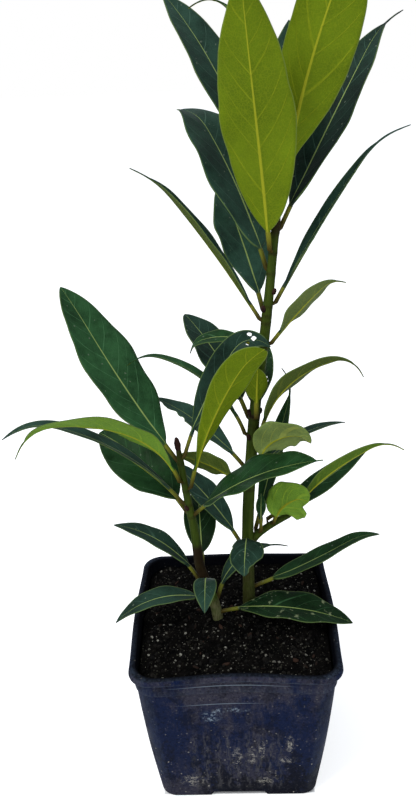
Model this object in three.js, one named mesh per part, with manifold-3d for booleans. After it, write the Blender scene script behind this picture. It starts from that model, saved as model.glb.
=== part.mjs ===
// A young bay laurel in a square plastic nursery pot.
// Millimetres, +Z up, +Y to the back, origin at the middle of the pot's underside.
// The pot, the soil, the two stems and every leaf are solids of their own. A leaf is one solid from
// the foot of its petiole to its tip, and its midrib, width, fold and waves come from a few values.
import * as THREE from "three";
import { mergeVertices } from "three/addons/utils/BufferGeometryUtils.js";
import Module from "manifold-3d";

const wasm = await Module();
wasm.setup();

// ---- Driving dimensions ----

const CLEARANCE = 0.3; // between pieces that rest against each other

const POT_HEIGHT = 76;
const RIM_HALF_WIDTH = 45;
const BASE_HALF_WIDTH = 35.4;
const BAND_FOOT = 66; // height where the plain band under the rim starts
const BAND_HALF_WIDTH = 43;
const BAND_STEP = 0.6; // how far the band stands out of the wall below it
const RIM_DEPTH = 3; // height of the rim's turned-down edge
const WALL = 1.2;
const BASE_CORNER_RADIUS = 7;
const RIM_CORNER_RADIUS = 9;
const FRONT_SAG = 2.4; // how far the middle of the front rim is pushed in
const SIDE_BULGE = 1.0; // how far the middle of each other rim stands out
const CORNER_STEPS = 4;
const SIDE_STEPS = 5;

const BAY_WIDTH = 24; // the raised drain bays in the middle of each foot edge
const BAY_DEPTH = 9;
const BAY_HEIGHT = 2;
const DRAIN_RADIUS = 2.6;

const SOIL_TOP = 71.6;
const SOIL_RINGS = 9;
const SOIL_BUMP = 0.7;
const GRAIN_COUNT = 40;
const GRAIN_RADIUS = 1.2;
const STEM_FOOT = 40; // height of the stems' cut feet in the soil

const STEM_SIDES = 10;
const STEM_STEP = 6; // length of one stretch of a stem

const PETIOLE_HALF_WIDTH = 0.9;
const PETIOLE_THICKNESS = 1.7;
const PETIOLE_EDGE = 0.7;
const BLADE_THICKNESS = 1.1; // at the midrib, near the petiole
const TIP_THICKNESS = 0.7;
const BLADE_EDGE = 0.6;
const TIP_HALF_WIDTH = 0.5;
const BLADE_STEP = 7; // length of one stretch of a blade
const ACROSS = [-1, -0.5, 0, 0.5, 1]; // the points across a blade, from its right edge to its left
const WAVES = 3; // waves along each edge
const WAVE_SHARE = 0.033; // wave height as a share of the blade's width
const TWIST_END = 0.35; // share of the leaf over which its roll builds up
const CURL_START = 0.72; // share of the leaf where the curl of its tip starts
const MIDRIB_STEPS = 80;

const COLOURS = {
  pot: 0x1b2233,
  soil: 0x17120f,
  stem: 0x4f5526,
  leaf: 0x1f4427,
  pale: 0x6f8f2c,
};

// The stems: points on the centre line, and the radius at each point.
const STEMS = {
  main: {
    points: [
      [7, 7.5, STEM_FOOT], [7, 7.5, 56], [7, 7.5, 73], [7, 7.5, 90], [7, 7.5, 108], [7.6, 7.5, 125],
      [9, 7.5, 148], [11.5, 7.5, 176], [14.8, 7.5, 200], [17.3, 7.5, 221], [19.2, 7.5, 240],
      [20.5, 7.6, 251], [21.3, 7.8, 262], [21.7, 8, 268],
    ],
    radii: [2.9, 2.9, 2.9, 2.7, 2.6, 2.6, 2.5, 2.3, 2.2, 1.9, 1.7, 1.5, 1.3, 0.8],
  },
  side: {
    points: [[7, 7.5, 106], [11, 8.3, 111], [16, 9.2, 114.6], [21, 10, 117.4], [25.5, 10.8, 119.6], [29.5, 11.5, 122]],
    radii: [1.9, 1.8, 1.6, 1.5, 1.4, 0.9],
  },
  left: {
    points: [
      [-7.5, 1, STEM_FOOT], [-7.5, 1, 50], [-7.5, 1, 60], [-7.6, 1, 72], [-9.5, 1, 82], [-12.5, 1, 92],
      [-14.8, 1, 101], [-15.6, 1, 111], [-16.6, 1, 122], [-18, 1, 131], [-19.4, 1, 142],
      [-20.5, 1, 152], [-21.4, 1, 160],
    ],
    radii: [2.4, 2.4, 2.4, 2.4, 2.3, 2.2, 2.2, 2.1, 1.9, 1.7, 1.55, 1.45, 1.0],
  },
};

// The buds: stem, height, azimuth, length and radius.
const BUDS = [
  ["main", 98, 330, 3.2, 1.1],
  ["main", 160, 225, 3.4, 1.2],
  ["main", 171, 200, 3.4, 1.2],
  ["main", 171, 20, 3.4, 1.2],
  ["main", 216, 215, 3.2, 1.1],
  ["main", 223, 330, 3.2, 1.1],
  ["left", 130, 236, 3.0, 1.1],
];
const END_BUDS = [
  ["main", 5, 1.3],
  ["left", 7, 1.6],
];

// The leaves, from the soil up. Each row gives the stem, the height of the foot on it, the azimuth
// (0 is +X, 90 is +Y) and the rise above level at the foot, all angles in degrees; then the length
// of the petiole, the length and width of the blade, how far the midrib bends down and turns to the
// left on its way, the roll about the midrib, the fold of each half and the extra curl of the tip.
// A last entry holds what only some leaves have: full (below 0.8 is rounder), belly (share of the
// length where it is widest) and tail (share of the length that is a thin drip tip).
const LEAVES = {
  main_leaf_01: ["main", 84, 5, 20, 9, 53, 12, -14, 0, 0, 12, 36, { belly: 0.38, full: 0.65 }],
  main_leaf_02: ["main", 106, 148, 55, 7, 47, 16, 30, 0, 0, 10, 0, { tail: 0.1 }],
  main_leaf_03: ["main", 111, 266, 45, 6, 26.5, 16, 80, 0, 0, 10, 0, { belly: 0.58 }],
  main_leaf_04: ["main", 137.6, 180, 45, 5, 26.6, 13.6, 31, 0, 61, 8, 6],
  main_leaf_05: ["main", 143, 20, 50, 6, 41, 6.5, 58, 0, 0, 15, 0],
  main_leaf_06: ["main", 146, 150, 44, 7, 44, 14, 32, 0, 0, 12, 0],
  main_leaf_07: ["main", 149, 322, 78, 6, 28, 20, 84, 18, -54, 10, 40, { full: 0.7 }],
  main_leaf_08: ["main", 162, 171, 72, 9, 57, 7, 74, 0, 0, 20, 38, { tail: 0.1 }],
  main_leaf_09: ["main", 164, 345, 78, 6, 56, 14.5, 76, 0, -32, 10, 66, { tail: 0.1 }],
  main_leaf_10: ["main", 167, 80, 60, 6, 34, 14, 26, 0, 0, 10, 0],
  main_leaf_11: ["main", 169, 133, 60, 8, 46, 20, 32, 0, 0, 10, 0, { full: 0.6 }],
  main_leaf_12: ["main", 171, 285, 88, 8, 16, 10, 10, 0, 0, 8, 0],
  main_leaf_13: ["main", 203.5, 345, 54.5, 6, 35, 12, 11, 0, -34, 10, 54, { tail: 0.08 }],
  main_leaf_14: ["main", 201, 165, 27, 5, 27, 9.5, 66, 0, -14, 10, 34],
  main_leaf_15: ["main", 213, 180, 60, 7, 70, 11, 10, 0, 0, 28, 24, { tail: 0.1 }],
  main_leaf_16: ["main", 216, 118, 61, 7, 50, 22, 16, 0, 0, 10, 0],
  main_leaf_17: ["main", 220, 6, 61.5, 7, 76, 7.5, 7, -14, 22, 26, 36, { tail: 0.15 }],
  main_leaf_18: ["main", 233, 130, 66, 8, 72, 28, 26, 0, 0, 10, 40, { full: 0.65 }],
  main_leaf_19: ["main", 241, 243, 79, 8, 88, 27, 14, 14, 5, 8, 0, { belly: 0.46, full: 0.68 }],
  main_leaf_20: ["main", 249, 138, 76, 8, 92, 20, 36, 0, -12, 12, 0, { belly: 0.58 }],
  main_leaf_21: ["main", 249, 38.5, 55.5, 9, 92, 20, 6, 2.6, 6, 14, 30, { tail: 0.12 }],
  main_leaf_22: ["main", 262, 318, 80, 9, 84, 27, 20, 0, -70, 20, 0, { belly: 0.52 }],
  main_leaf_23: ["main", 253, 188, 90, 6, 85, 18, 26, -40, 0, 15, 90, { tail: 0.15 }],
  main_leaf_24: ["main", 260, 77, 74, 6, 60, 17, 12, 0, 0, 12, 0],
  side_leaf_1: ["side", 113, 290, 90, 7, 13, 4.5, 6, 0, 160, 8, 0],
  side_leaf_2: ["side", 112, 42, 70, 6, 72, 10.5, 2, 0, 0, 12, -60, { tail: 0.2 }],
  side_leaf_3: ["side", 116.5, 335, 76, 4, 20, 20, 60, 0, -86, 8, 45, { full: 0.55 }],
  side_leaf_4: ["side", 115.5, 26, 18, 5, 52, 11.5, -14, -4, 20, 12, 8],
  side_leaf_5: ["side", 120.5, 347, 60, 8, 55, 8.5, 42, 19, -56, 20, 54, { tail: 0.15 }],
  left_leaf_01: ["left", 75, 350, 20, 8, 52, 21, 40, 0, 0, 10, 0],
  left_leaf_02: ["left", 81, 60, 58, 6, 39, 9, 75, -60, 0, 12, 0, { tail: 0.2 }],
  left_leaf_03: ["left", 83, 194, 34, 5, 40, 13, 78, 0, 0, 12, 0, { belly: 0.42 }],
  left_leaf_04: ["left", 93, 270, 60, 6, 27, 10, 95, 0, 0, 8, 0],
  left_leaf_05: ["left", 94, 165, 60, 7, 40, 12, 60, 0, 0, 12, 0],
  left_leaf_06: ["left", 98, 94, 55, 6, 32, 15, 40, 0, 0, 10, 0, { full: 0.6 }],
  left_leaf_07: ["left", 128, 338, 48.5, 7, 60, 25, 32, 0, 8, 12, 0, { belly: 0.42, full: 0.65, tail: 0.05 }],
  left_leaf_08: ["left", 128, 143, 46, 7, 50, 26, 40, 0, -28, 10, 0, { full: 0.7 }],
  left_leaf_09: ["left", 134, 184, 56, 9, 79, 11, 41, 21, 0, 15, 41],
  left_leaf_10: ["left", 145, 225, 71, 8, 81, 20, 88, -37, 32, 10, 50, { tail: 0.1, belly: 0.58 }],
  left_leaf_11: ["left", 141, 344, 77, 9, 70, 16, 26, -25, -40, 12, 15, { belly: 0.7, full: 0.5 }],
  left_leaf_12: ["left", 154, 148, 46, 8, 80, 27, -12, 0, -10, 8, 8, { full: 0.7 }],
  left_leaf_13: ["left", 156, 2, 73, 10, 58, 13, 22, 0, 60, 12, 90, { belly: 0.55 }],
};
// Leaves that show their pale undersides, for their colour alone.
const PALE_LEAVES = ["main_leaf_19", "main_leaf_22", "left_leaf_10", "left_leaf_11", "side_leaf_3"];

// ---- Solids ----

// A closed body from rows of points: row i joins row i + 1, each row is a ring, and both ends are
// closed by the caller's triangles. Every quad is split the same way along its row.
function ringFaces(rows, ringSize, faces) {
  for (let i = 0; i + 1 < rows; i++)
    for (let j = 0; j < ringSize; j++) {
      const a = i * ringSize + j;
      const b = i * ringSize + ((j + 1) % ringSize);
      faces.push(a, b, b + ringSize, a, b + ringSize, a + ringSize);
    }
  return faces;
}

function solidFrom(vertices, faces) {
  const geometry = new THREE.BufferGeometry();
  geometry.setAttribute("position", new THREE.Float32BufferAttribute(vertices.flat(), 3));
  geometry.setIndex(faces);
  const merged = mergeVertices(geometry, 1e-4);
  const mesh = new wasm.Mesh({
    numProp: 3,
    vertProperties: merged.attributes.position.array,
    triVerts: new Uint32Array(merged.index.array),
  });
  return new wasm.Manifold(mesh);
}

function solidFromGeometry(geometry) {
  const bare = geometry.clone();
  bare.deleteAttribute("normal");
  bare.deleteAttribute("uv");
  const merged = mergeVertices(bare, 1e-4);
  return new wasm.Manifold(
    new wasm.Mesh({
      numProp: 3,
      vertProperties: merged.attributes.position.array,
      triVerts: new Uint32Array(merged.index ? merged.index.array : merged.attributes.position.array.keys()),
    }),
  );
}

function meshFrom(name, solid, colour, roughness) {
  const { vertProperties, triVerts } = solid.getMesh();
  const geometry = new THREE.BufferGeometry();
  geometry.setAttribute("position", new THREE.BufferAttribute(new Float32Array(vertProperties), 3));
  geometry.setIndex(new THREE.BufferAttribute(new Uint32Array(triVerts), 1));
  geometry.computeVertexNormals();
  const material = new THREE.MeshStandardMaterial({ color: colour, roughness, metalness: 0 });
  const mesh = new THREE.Mesh(geometry, material);
  mesh.name = name;
  return mesh;
}

// ---- Pot and soil ----

// A rounded square with its corner arcs and side points, counter-clockwise from the front left.
// The middle of each side is moved out or in by its bow, which grows with the height.
function roundedSquare(halfWidth, cornerRadius, z) {
  const points = [];
  const flat = halfWidth - cornerRadius;
  const lift = z / POT_HEIGHT;
  for (let side = 0; side < 4; side++) {
    const turn = (side * Math.PI) / 2;
    const bow = (side === 0 ? -FRONT_SAG : SIDE_BULGE) * lift * lift;
    const place = (along, out) =>
      points.push([
        along * Math.cos(turn) + out * Math.sin(turn),
        along * Math.sin(turn) - out * Math.cos(turn),
        z,
      ]);
    for (let i = 0; i < SIDE_STEPS; i++) {
      const share = (2 * i) / SIDE_STEPS - 1;
      place(flat * share, halfWidth + bow * (1 - share * share) ** 2);
    }
    for (let i = 0; i < CORNER_STEPS; i++) {
      const angle = ((i / CORNER_STEPS) * Math.PI) / 2;
      place(flat + cornerRadius * Math.sin(angle), flat + cornerRadius * Math.cos(angle));
    }
  }
  return points;
}

const RING_SIZE = 4 * (SIDE_STEPS + CORNER_STEPS);

// The outer half width of the wall, a little convex from the foot to the band.
function wallHalfWidth(z) {
  const share = Math.min(z / BAND_FOOT, 1);
  const top = BAND_HALF_WIDTH - BAND_STEP;
  return BASE_HALF_WIDTH + (top - BASE_HALF_WIDTH) * (share + 0.35 * share * (1 - share));
}

function cornerRadius(z) {
  return BASE_CORNER_RADIUS + ((RIM_CORNER_RADIUS - BASE_CORNER_RADIUS) * z) / POT_HEIGHT;
}

// A solid lofted through rounded squares, given as pairs of half width and height, from the foot
// up. The last level may be lower than one before it.
function squareLoft(levels) {
  const vertices = levels.flatMap(([half, z]) => roundedSquare(half, cornerRadius(z), z));
  const faces = ringFaces(levels.length, RING_SIZE, []);
  const foot = vertices.length;
  vertices.push([0, 0, levels[0][1]], [0, 0, levels[levels.length - 1][1]]);
  const last = (levels.length - 1) * RING_SIZE;
  for (let j = 0; j < RING_SIZE; j++) {
    const next = (j + 1) % RING_SIZE;
    faces.push(foot, next, j, foot + 1, last + j, last + next);
  }
  return solidFrom(vertices, faces);
}

// One block for each drain bay, grown by a margin, in the middle of each foot edge.
function bayBlocks(margin) {
  const reach = BAY_DEPTH + 2 * margin;
  const height = BAY_HEIGHT + margin;
  const middle = BASE_HALF_WIDTH - BAY_DEPTH + reach / 2 - margin;
  const spare = 1; // below the foot, so that the cut goes right through
  return [0, 1, 2, 3].map((side) => {
    const block = new THREE.BoxGeometry(BAY_WIDTH + 2 * margin, reach, height + spare)
      .translate(0, -middle, (height - spare) / 2)
      .rotateZ((side * Math.PI) / 2);
    return solidFromGeometry(block);
  });
}

function drainHoles() {
  const middle = BASE_HALF_WIDTH - BAY_DEPTH / 2 - WALL;
  return [0, 1, 2, 3].map((side) =>
    solidFromGeometry(
      new THREE.CylinderGeometry(DRAIN_RADIUS, DRAIN_RADIUS, 4 * WALL, 16)
        .rotateX(Math.PI / 2)
        .translate(0, -middle, BAY_HEIGHT + WALL / 2)
        .rotateZ((side * Math.PI) / 2),
    ),
  );
}

function potSolid() {
  const under = POT_HEIGHT - RIM_DEPTH;
  const outer = squareLoft([
    [BASE_HALF_WIDTH - 0.8, 0],
    [wallHalfWidth(1), 1],
    [wallHalfWidth(BAND_FOOT / 3), BAND_FOOT / 3],
    [wallHalfWidth((2 * BAND_FOOT) / 3), (2 * BAND_FOOT) / 3],
    [wallHalfWidth(BAND_FOOT), BAND_FOOT],
    [BAND_HALF_WIDTH, BAND_FOOT + BAND_STEP],
    [BAND_HALF_WIDTH + 0.4, under],
    [RIM_HALF_WIDTH - 0.4, under],
    [RIM_HALF_WIDTH, under + 0.6],
    [RIM_HALF_WIDTH - 0.3, POT_HEIGHT - 0.4],
    [RIM_HALF_WIDTH - 1, POT_HEIGHT],
  ]);
  const cavity = squareLoft([
    [wallHalfWidth(WALL) - WALL, WALL],
    [wallHalfWidth(BAND_FOOT / 3) - WALL, BAND_FOOT / 3],
    [wallHalfWidth((2 * BAND_FOOT) / 3) - WALL, (2 * BAND_FOOT) / 3],
    [wallHalfWidth(BAND_FOOT) - WALL, BAND_FOOT],
    [BAND_HALF_WIDTH - WALL, under],
    [BAND_HALF_WIDTH - 0.6, POT_HEIGHT - 0.6],
    [BAND_HALF_WIDTH - 0.4, POT_HEIGHT + 1],
  ]);
  let hollow = cavity;
  for (const block of bayBlocks(WALL)) hollow = hollow.subtract(block);
  let pot = outer.subtract(hollow);
  for (const block of bayBlocks(0)) pot = pot.subtract(block);
  for (const hole of drainHoles()) pot = pot.subtract(hole);
  return pot;
}

// Low bumps from a few crossing waves, so that the crumbly top of the soil isn't flat.
function soilBump(x, y) {
  return SOIL_BUMP * (Math.sin(0.31 * x + 0.9) * Math.cos(0.27 * y) + 0.6 * Math.sin(0.83 * x - 0.71 * y));
}

// A repeatable draw between 0 and 1.
function seededDraw(seed) {
  let state = seed;
  return () => {
    state = (state * 16807) % 2147483647;
    return state / 2147483647;
  };
}

function soilSolid() {
  const inset = WALL + CLEARANCE;
  const sides = [
    WALL + CLEARANCE,
    BAND_FOOT / 3,
    (2 * BAND_FOOT) / 3,
    BAND_FOOT,
    SOIL_TOP - 1,
  ];
  const vertices = sides.flatMap((z) => roundedSquare(wallHalfWidth(z) - inset, cornerRadius(z), z));
  const rim = wallHalfWidth(SOIL_TOP) - inset - 0.5;
  for (let i = 0; i < SOIL_RINGS; i++) {
    const share = 1 - i / SOIL_RINGS;
    for (const [x, y] of roundedSquare(rim, cornerRadius(SOIL_TOP), SOIL_TOP))
      vertices.push([x * share, y * share, SOIL_TOP + soilBump(x * share, y * share)]);
  }
  const rows = sides.length + SOIL_RINGS;
  const faces = ringFaces(rows, RING_SIZE, []);
  const foot = vertices.length;
  vertices.push([0, 0, sides[0]], [0, 0, SOIL_TOP + soilBump(0, 0)]);
  const last = (rows - 1) * RING_SIZE;
  for (let j = 0; j < RING_SIZE; j++) {
    const next = (j + 1) % RING_SIZE;
    faces.push(foot, next, j, foot + 1, last + j, last + next);
  }
  let soil = solidFrom(vertices, faces);
  for (const block of bayBlocks(WALL + CLEARANCE)) soil = soil.subtract(block);
  const stemFeet = ["main", "left"].map((name) => STEMS[name].points[0]);
  const draw = seededDraw(11);
  const reach = rim - 4;
  for (let i = 0; i < GRAIN_COUNT; i++) {
    const x = (2 * draw() - 1) * reach;
    const y = (2 * draw() - 1) * reach;
    const size = GRAIN_RADIUS * (0.7 + 0.6 * draw());
    if (stemFeet.some(([sx, sy]) => Math.hypot(x - sx, y - sy) < 6)) continue;
    const grain = new THREE.OctahedronGeometry(size, 0)
      .rotateX(3 * draw())
      .rotateZ(3 * draw())
      .translate(x, y, SOIL_TOP + soilBump(x, y) + 0.15 * size);
    soil = soil.add(solidFromGeometry(grain));
  }
  for (const name of ["main", "left"]) {
    const [x, y] = STEMS[name].points[0];
    const radius = STEMS[name].radii[0] + 1.4 * CLEARANCE;
    const depth = SOIL_TOP - STEM_FOOT + 10;
    const hole = new THREE.CylinderGeometry(radius, radius, depth, 16)
      .rotateX(Math.PI / 2)
      .translate(x, y, STEM_FOOT - CLEARANCE + depth / 2);
    soil = soil.subtract(solidFromGeometry(hole));
  }
  return soil;
}

// ---- Stems ----

const centreLines = Object.fromEntries(
  Object.entries(STEMS).map(([name, { points }]) => [
    name,
    new THREE.CatmullRomCurve3(points.map((p) => new THREE.Vector3(...p)), false, "catmullrom", 0.5),
  ]),
);

function stemRadius(name, t) {
  const { radii } = STEMS[name];
  const place = t * (radii.length - 1);
  const i = Math.min(Math.floor(place), radii.length - 2);
  return THREE.MathUtils.lerp(radii[i], radii[i + 1], place - i);
}

// The point, direction and radius of a stem at a height.
function stemAt(name, height) {
  let low = 0;
  let high = 1;
  for (let i = 0; i < 40; i++) {
    const middle = (low + high) / 2;
    if (centreLines[name].getPoint(middle).z < height) low = middle;
    else high = middle;
  }
  const before = centreLines[name].getPoint(Math.max(low - 0.01, 0));
  const after = centreLines[name].getPoint(Math.min(low + 0.01, 1));
  return {
    point: centreLines[name].getPoint(low),
    along: after.sub(before).normalize(),
    radius: stemRadius(name, low),
  };
}

// A round rod along a stem's centre line.
function rodSolid(name) {
  const curve = centreLines[name];
  const rows = Math.max(4, Math.round(curve.getLength() / STEM_STEP));
  const vertices = [];
  for (let i = 0; i <= rows; i++) {
    const t = i / rows;
    const centre = curve.getPoint(t);
    const along = curve.getTangent(t);
    const side = new THREE.Vector3().crossVectors(along, new THREE.Vector3(0, 1, 0)).normalize();
    const back = new THREE.Vector3().crossVectors(along, side);
    for (let j = 0; j < STEM_SIDES; j++) {
      const angle = (2 * Math.PI * j) / STEM_SIDES;
      const point = centre
        .clone()
        .addScaledVector(side, stemRadius(name, t) * Math.cos(angle))
        .addScaledVector(back, stemRadius(name, t) * Math.sin(angle));
      vertices.push(point.toArray());
    }
  }
  const faces = ringFaces(rows + 1, STEM_SIDES, []);
  const foot = vertices.length;
  vertices.push(curve.getPoint(0).toArray(), curve.getPoint(1).toArray());
  const last = rows * STEM_SIDES;
  for (let j = 0; j < STEM_SIDES; j++) {
    const next = (j + 1) % STEM_SIDES;
    faces.push(foot, next, j, foot + 1, last + j, last + next);
  }
  return solidFrom(vertices, faces);
}

// A pointed bud, lying along a direction with its foot at a point.
function budSolid(foot, direction, length, radius) {
  const profile = [0, 0.25, 0.5, 0.8, 1].map(
    (t) => new THREE.Vector2(radius * Math.sqrt(Math.max(0, 4 * t * (1 - t) * (1 - 0.35 * t))), length * t),
  );
  const turn = new THREE.Quaternion().setFromUnitVectors(new THREE.Vector3(0, 1, 0), direction);
  const bud = new THREE.LatheGeometry(profile, 8).applyQuaternion(turn).translate(...foot.toArray());
  return solidFromGeometry(bud);
}

function stemSolid(names) {
  let stem = rodSolid(names[0]);
  for (const name of names.slice(1)) stem = stem.add(rodSolid(name));
  for (const [name, height, azimuth, length, radius] of BUDS) {
    if (!names.includes(name)) continue;
    const { point, along, radius: stemSize } = stemAt(name, height);
    const angle = THREE.MathUtils.degToRad(azimuth);
    const out = new THREE.Vector3(Math.cos(angle), Math.sin(angle), 0);
    const foot = point.clone().addScaledVector(out, 0.6 * stemSize);
    stem = stem.add(budSolid(foot, along.clone().addScaledVector(out, 0.5).normalize(), length, radius));
  }
  for (const [name, length, radius] of END_BUDS) {
    if (!names.includes(name)) continue;
    const top = centreLines[name].getPoint(1);
    const along = centreLines[name].getTangent(1);
    stem = stem.add(budSolid(top.addScaledVector(along, -0.3 * length), along, length, radius));
  }
  return stem;
}

// ---- Leaves ----

function smoothStep(x) {
  const t = THREE.MathUtils.clamp(x, 0, 1);
  return t * t * (3 - 2 * t);
}

// The midrib as a list of points with the blade's left and upper directions at each of them.
function midribOf(row) {
  const [stem, height, azimuth, rise, petiole, length, , bend, sweep, roll, , curl] = row;
  const { point, along, radius } = stemAt(stem, height);
  const first = THREE.MathUtils.degToRad(azimuth);
  const out = new THREE.Vector3(Math.cos(first), Math.sin(first), 1);
  out.addScaledVector(along, -out.dot(along)).normalize();
  const place = point.clone();
  const step = (petiole + length) / MIDRIB_STEPS;
  const stations = [];
  let previous = null;
  for (let i = 0; i <= MIDRIB_STEPS; i++) {
    const x = i / MIDRIB_STEPS;
    const climb = THREE.MathUtils.degToRad(rise - bend * x - curl * smoothStep((x - CURL_START) / (1 - CURL_START)));
    const heading = THREE.MathUtils.degToRad(azimuth + sweep * x);
    const ahead = new THREE.Vector3(
      Math.cos(climb) * Math.cos(heading),
      Math.cos(climb) * Math.sin(heading),
      Math.sin(climb),
    );
    if (previous) place.addScaledVector(previous.add(ahead), step / 2);
    previous = ahead;
    const left = new THREE.Vector3(-Math.sin(heading), Math.cos(heading), 0);
    const upper = new THREE.Vector3().crossVectors(ahead, left);
    if (i === 0) {
      const reach = Math.abs(out.dot(upper)) * (PETIOLE_THICKNESS / 2) + Math.abs(out.dot(left)) * PETIOLE_HALF_WIDTH;
      place.addScaledVector(out, radius + CLEARANCE + reach);
    }
    const twist = THREE.MathUtils.degToRad(roll * Math.min(x / TWIST_END, 1));
    stations.push({
      point: place.clone(),
      left: left.clone().multiplyScalar(Math.cos(twist)).addScaledVector(upper, Math.sin(twist)),
      upper: upper.clone().multiplyScalar(Math.cos(twist)).addScaledVector(left, -Math.sin(twist)),
    });
  }
  return stations;
}

// The station at a share of the midrib, between two of its points.
function stationAt(stations, share) {
  const place = share * MIDRIB_STEPS;
  const i = Math.min(Math.floor(place), MIDRIB_STEPS - 1);
  const [a, b] = [stations[i], stations[i + 1]];
  const mix = (key) => a[key].clone().lerp(b[key], place - i);
  return { point: mix("point"), left: mix("left").normalize(), upper: mix("upper").normalize() };
}

// Half the blade's width at a share of its length: a sine hump, moved and filled out by the leaf's
// own values, with a thin tail at its end.
function halfWidthAt(row, t) {
  const { full = 0.8, belly = 0.48, tail = 0 } = row[12] ?? {};
  const share = Math.min(t / (1 - tail), 1);
  const power = Math.log(0.5) / Math.log(belly);
  const hump = Math.max(Math.sin(Math.PI * share ** power), 0) ** full;
  return Math.max((row[6] / 2) * hump, t > 0 ? TIP_HALF_WIDTH : PETIOLE_HALF_WIDTH);
}

// One leaf: rings of points along the midrib, each with the upper face's points from the right
// edge to the left and the lower face's points back again.
function leafSolid(row) {
  const [, height, , , petiole, length, width, , , , fold] = row;
  const stations = midribOf(row);
  const total = petiole + length;
  const bladeRows = Math.max(6, Math.round(length / BLADE_STEP));
  const shares = [0, petiole / 2 / total];
  for (let i = 0; i <= bladeRows; i++) shares.push((petiole + (length * i) / bladeRows) / total);
  const foldAngle = THREE.MathUtils.degToRad(fold);
  const vertices = [];
  for (const share of shares) {
    const { point, left, upper } = stationAt(stations, share);
    const t = THREE.MathUtils.clamp((share * total - petiole) / length, 0, 1);
    const half = halfWidthAt(row, t);
    const blade = Math.min(t / 0.15, 1);
    const middle = THREE.MathUtils.lerp(
      PETIOLE_THICKNESS,
      THREE.MathUtils.lerp(BLADE_THICKNESS, TIP_THICKNESS, t),
      blade,
    );
    const edge = THREE.MathUtils.lerp(PETIOLE_EDGE, BLADE_EDGE, blade);
    const top = [];
    const bottom = [];
    for (const u of ACROSS) {
      const wave = WAVE_SHARE * 2 * half * Math.sin(2 * Math.PI * (WAVES * t + (u > 0 ? 0.5 : 0)) + height);
      const rise = Math.abs(u) * half * Math.sin(foldAngle) + (t > 0 ? wave * u * u : 0);
      const centre = point
        .clone()
        .addScaledVector(left, u * half * Math.cos(foldAngle))
        .addScaledVector(upper, rise);
      const normal = upper
        .clone()
        .multiplyScalar(Math.cos(foldAngle))
        .addScaledVector(left, -Math.sign(u) * Math.sin(foldAngle));
      const thickness = edge + (middle - edge) * THREE.MathUtils.lerp(1 - u * u, (1 - Math.abs(u)) ** 2, blade);
      top.push(centre.clone().addScaledVector(normal, thickness / 2).toArray());
      bottom.push(centre.clone().addScaledVector(normal, -thickness / 2).toArray());
    }
    vertices.push(...top, ...bottom.reverse());
  }
  return solidFrom(vertices, leafFaces(shares.length));
}

// The faces of a leaf's skin: each strip of the lower face is split along the same diagonal as the
// strip above it, and both ends are closed by short strips from face to face.
function leafFaces(rows) {
  const across = ACROSS.length;
  const ring = 2 * across;
  const faces = [];
  const quad = (a, b, c, d) => faces.push(a, b, c, a, c, d);
  for (let i = 0; i + 1 < rows; i++) {
    const here = i * ring;
    const next = here + ring;
    for (let j = 0; j + 1 < across; j++) {
      quad(here + j, next + j, next + j + 1, here + j + 1);
      const low = here + ring - 1 - j;
      faces.push(low, next + ring - 2 - j, next + ring - 1 - j);
      faces.push(low, low - 1, next + ring - 2 - j);
    }
    quad(here + across - 1, next + across - 1, next + across, here + across);
    quad(here + ring - 1, next + ring - 1, next, here);
  }
  const last = (rows - 1) * ring;
  for (let j = 0; j + 1 < across; j++) {
    quad(j, j + 1, ring - 2 - j, ring - 1 - j);
    quad(last + j + 1, last + j, last + ring - 1 - j, last + ring - 2 - j);
  }
  return faces;
}

// ---- Assembly ----

const plant = new THREE.Group();
plant.name = "bay_laurel_in_a_pot";
plant.add(meshFrom("pot", potSolid(), COLOURS.pot, 0.6));
plant.add(meshFrom("soil", soilSolid(), COLOURS.soil, 0.95));
plant.add(meshFrom("main_stem", stemSolid(["main", "side"]), COLOURS.stem, 0.7));
plant.add(meshFrom("left_stem", stemSolid(["left"]), COLOURS.stem, 0.7));
for (const [name, row] of Object.entries(LEAVES)) {
  const colour = PALE_LEAVES.includes(name) ? COLOURS.pale : COLOURS.leaf;
  plant.add(meshFrom(name, leafSolid(row), colour, 0.45));
}

export default plant;
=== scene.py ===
"""A young bay laurel in a square nursery pot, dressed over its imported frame.

Sizes are millimetres until a mesh is written, and materials read places in metres: +Z up, +Y to
the back, the origin in the middle of the pot's underside. The pot, the compost, the stems and the
leaves are surfaces worked out with numpy from the same named sizes as the solids that they stand
for.
"""
import logging
from dataclasses import dataclass, field
from enum import Enum, IntEnum

import bpy
import numpy as np
from mathutils import Matrix


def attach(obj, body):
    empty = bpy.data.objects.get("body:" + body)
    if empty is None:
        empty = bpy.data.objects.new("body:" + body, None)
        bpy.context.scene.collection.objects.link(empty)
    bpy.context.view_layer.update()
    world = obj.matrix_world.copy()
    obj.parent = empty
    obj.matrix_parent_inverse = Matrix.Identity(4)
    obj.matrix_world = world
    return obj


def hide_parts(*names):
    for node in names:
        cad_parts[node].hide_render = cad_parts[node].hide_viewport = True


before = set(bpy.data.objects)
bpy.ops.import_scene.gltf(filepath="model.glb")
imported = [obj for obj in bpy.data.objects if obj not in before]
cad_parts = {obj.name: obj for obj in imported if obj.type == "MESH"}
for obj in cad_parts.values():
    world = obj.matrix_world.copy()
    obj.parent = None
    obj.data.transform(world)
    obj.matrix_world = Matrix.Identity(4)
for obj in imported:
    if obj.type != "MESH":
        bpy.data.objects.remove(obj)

logging.basicConfig(level=logging.INFO, format="%(message)s")
LOG = logging.getLogger("laurel")

MM = 0.001
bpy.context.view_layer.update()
Colour = tuple[float, float, float]
Place = tuple[float, float, float]
Socket = bpy.types.NodeSocket
Sockets = bpy.types.bpy_prop_collection
Node = bpy.types.Node
Tree = bpy.types.NodeTree
Material = bpy.types.Material
Array = np.ndarray


# ---- Numbers that vary smoothly ----

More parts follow.
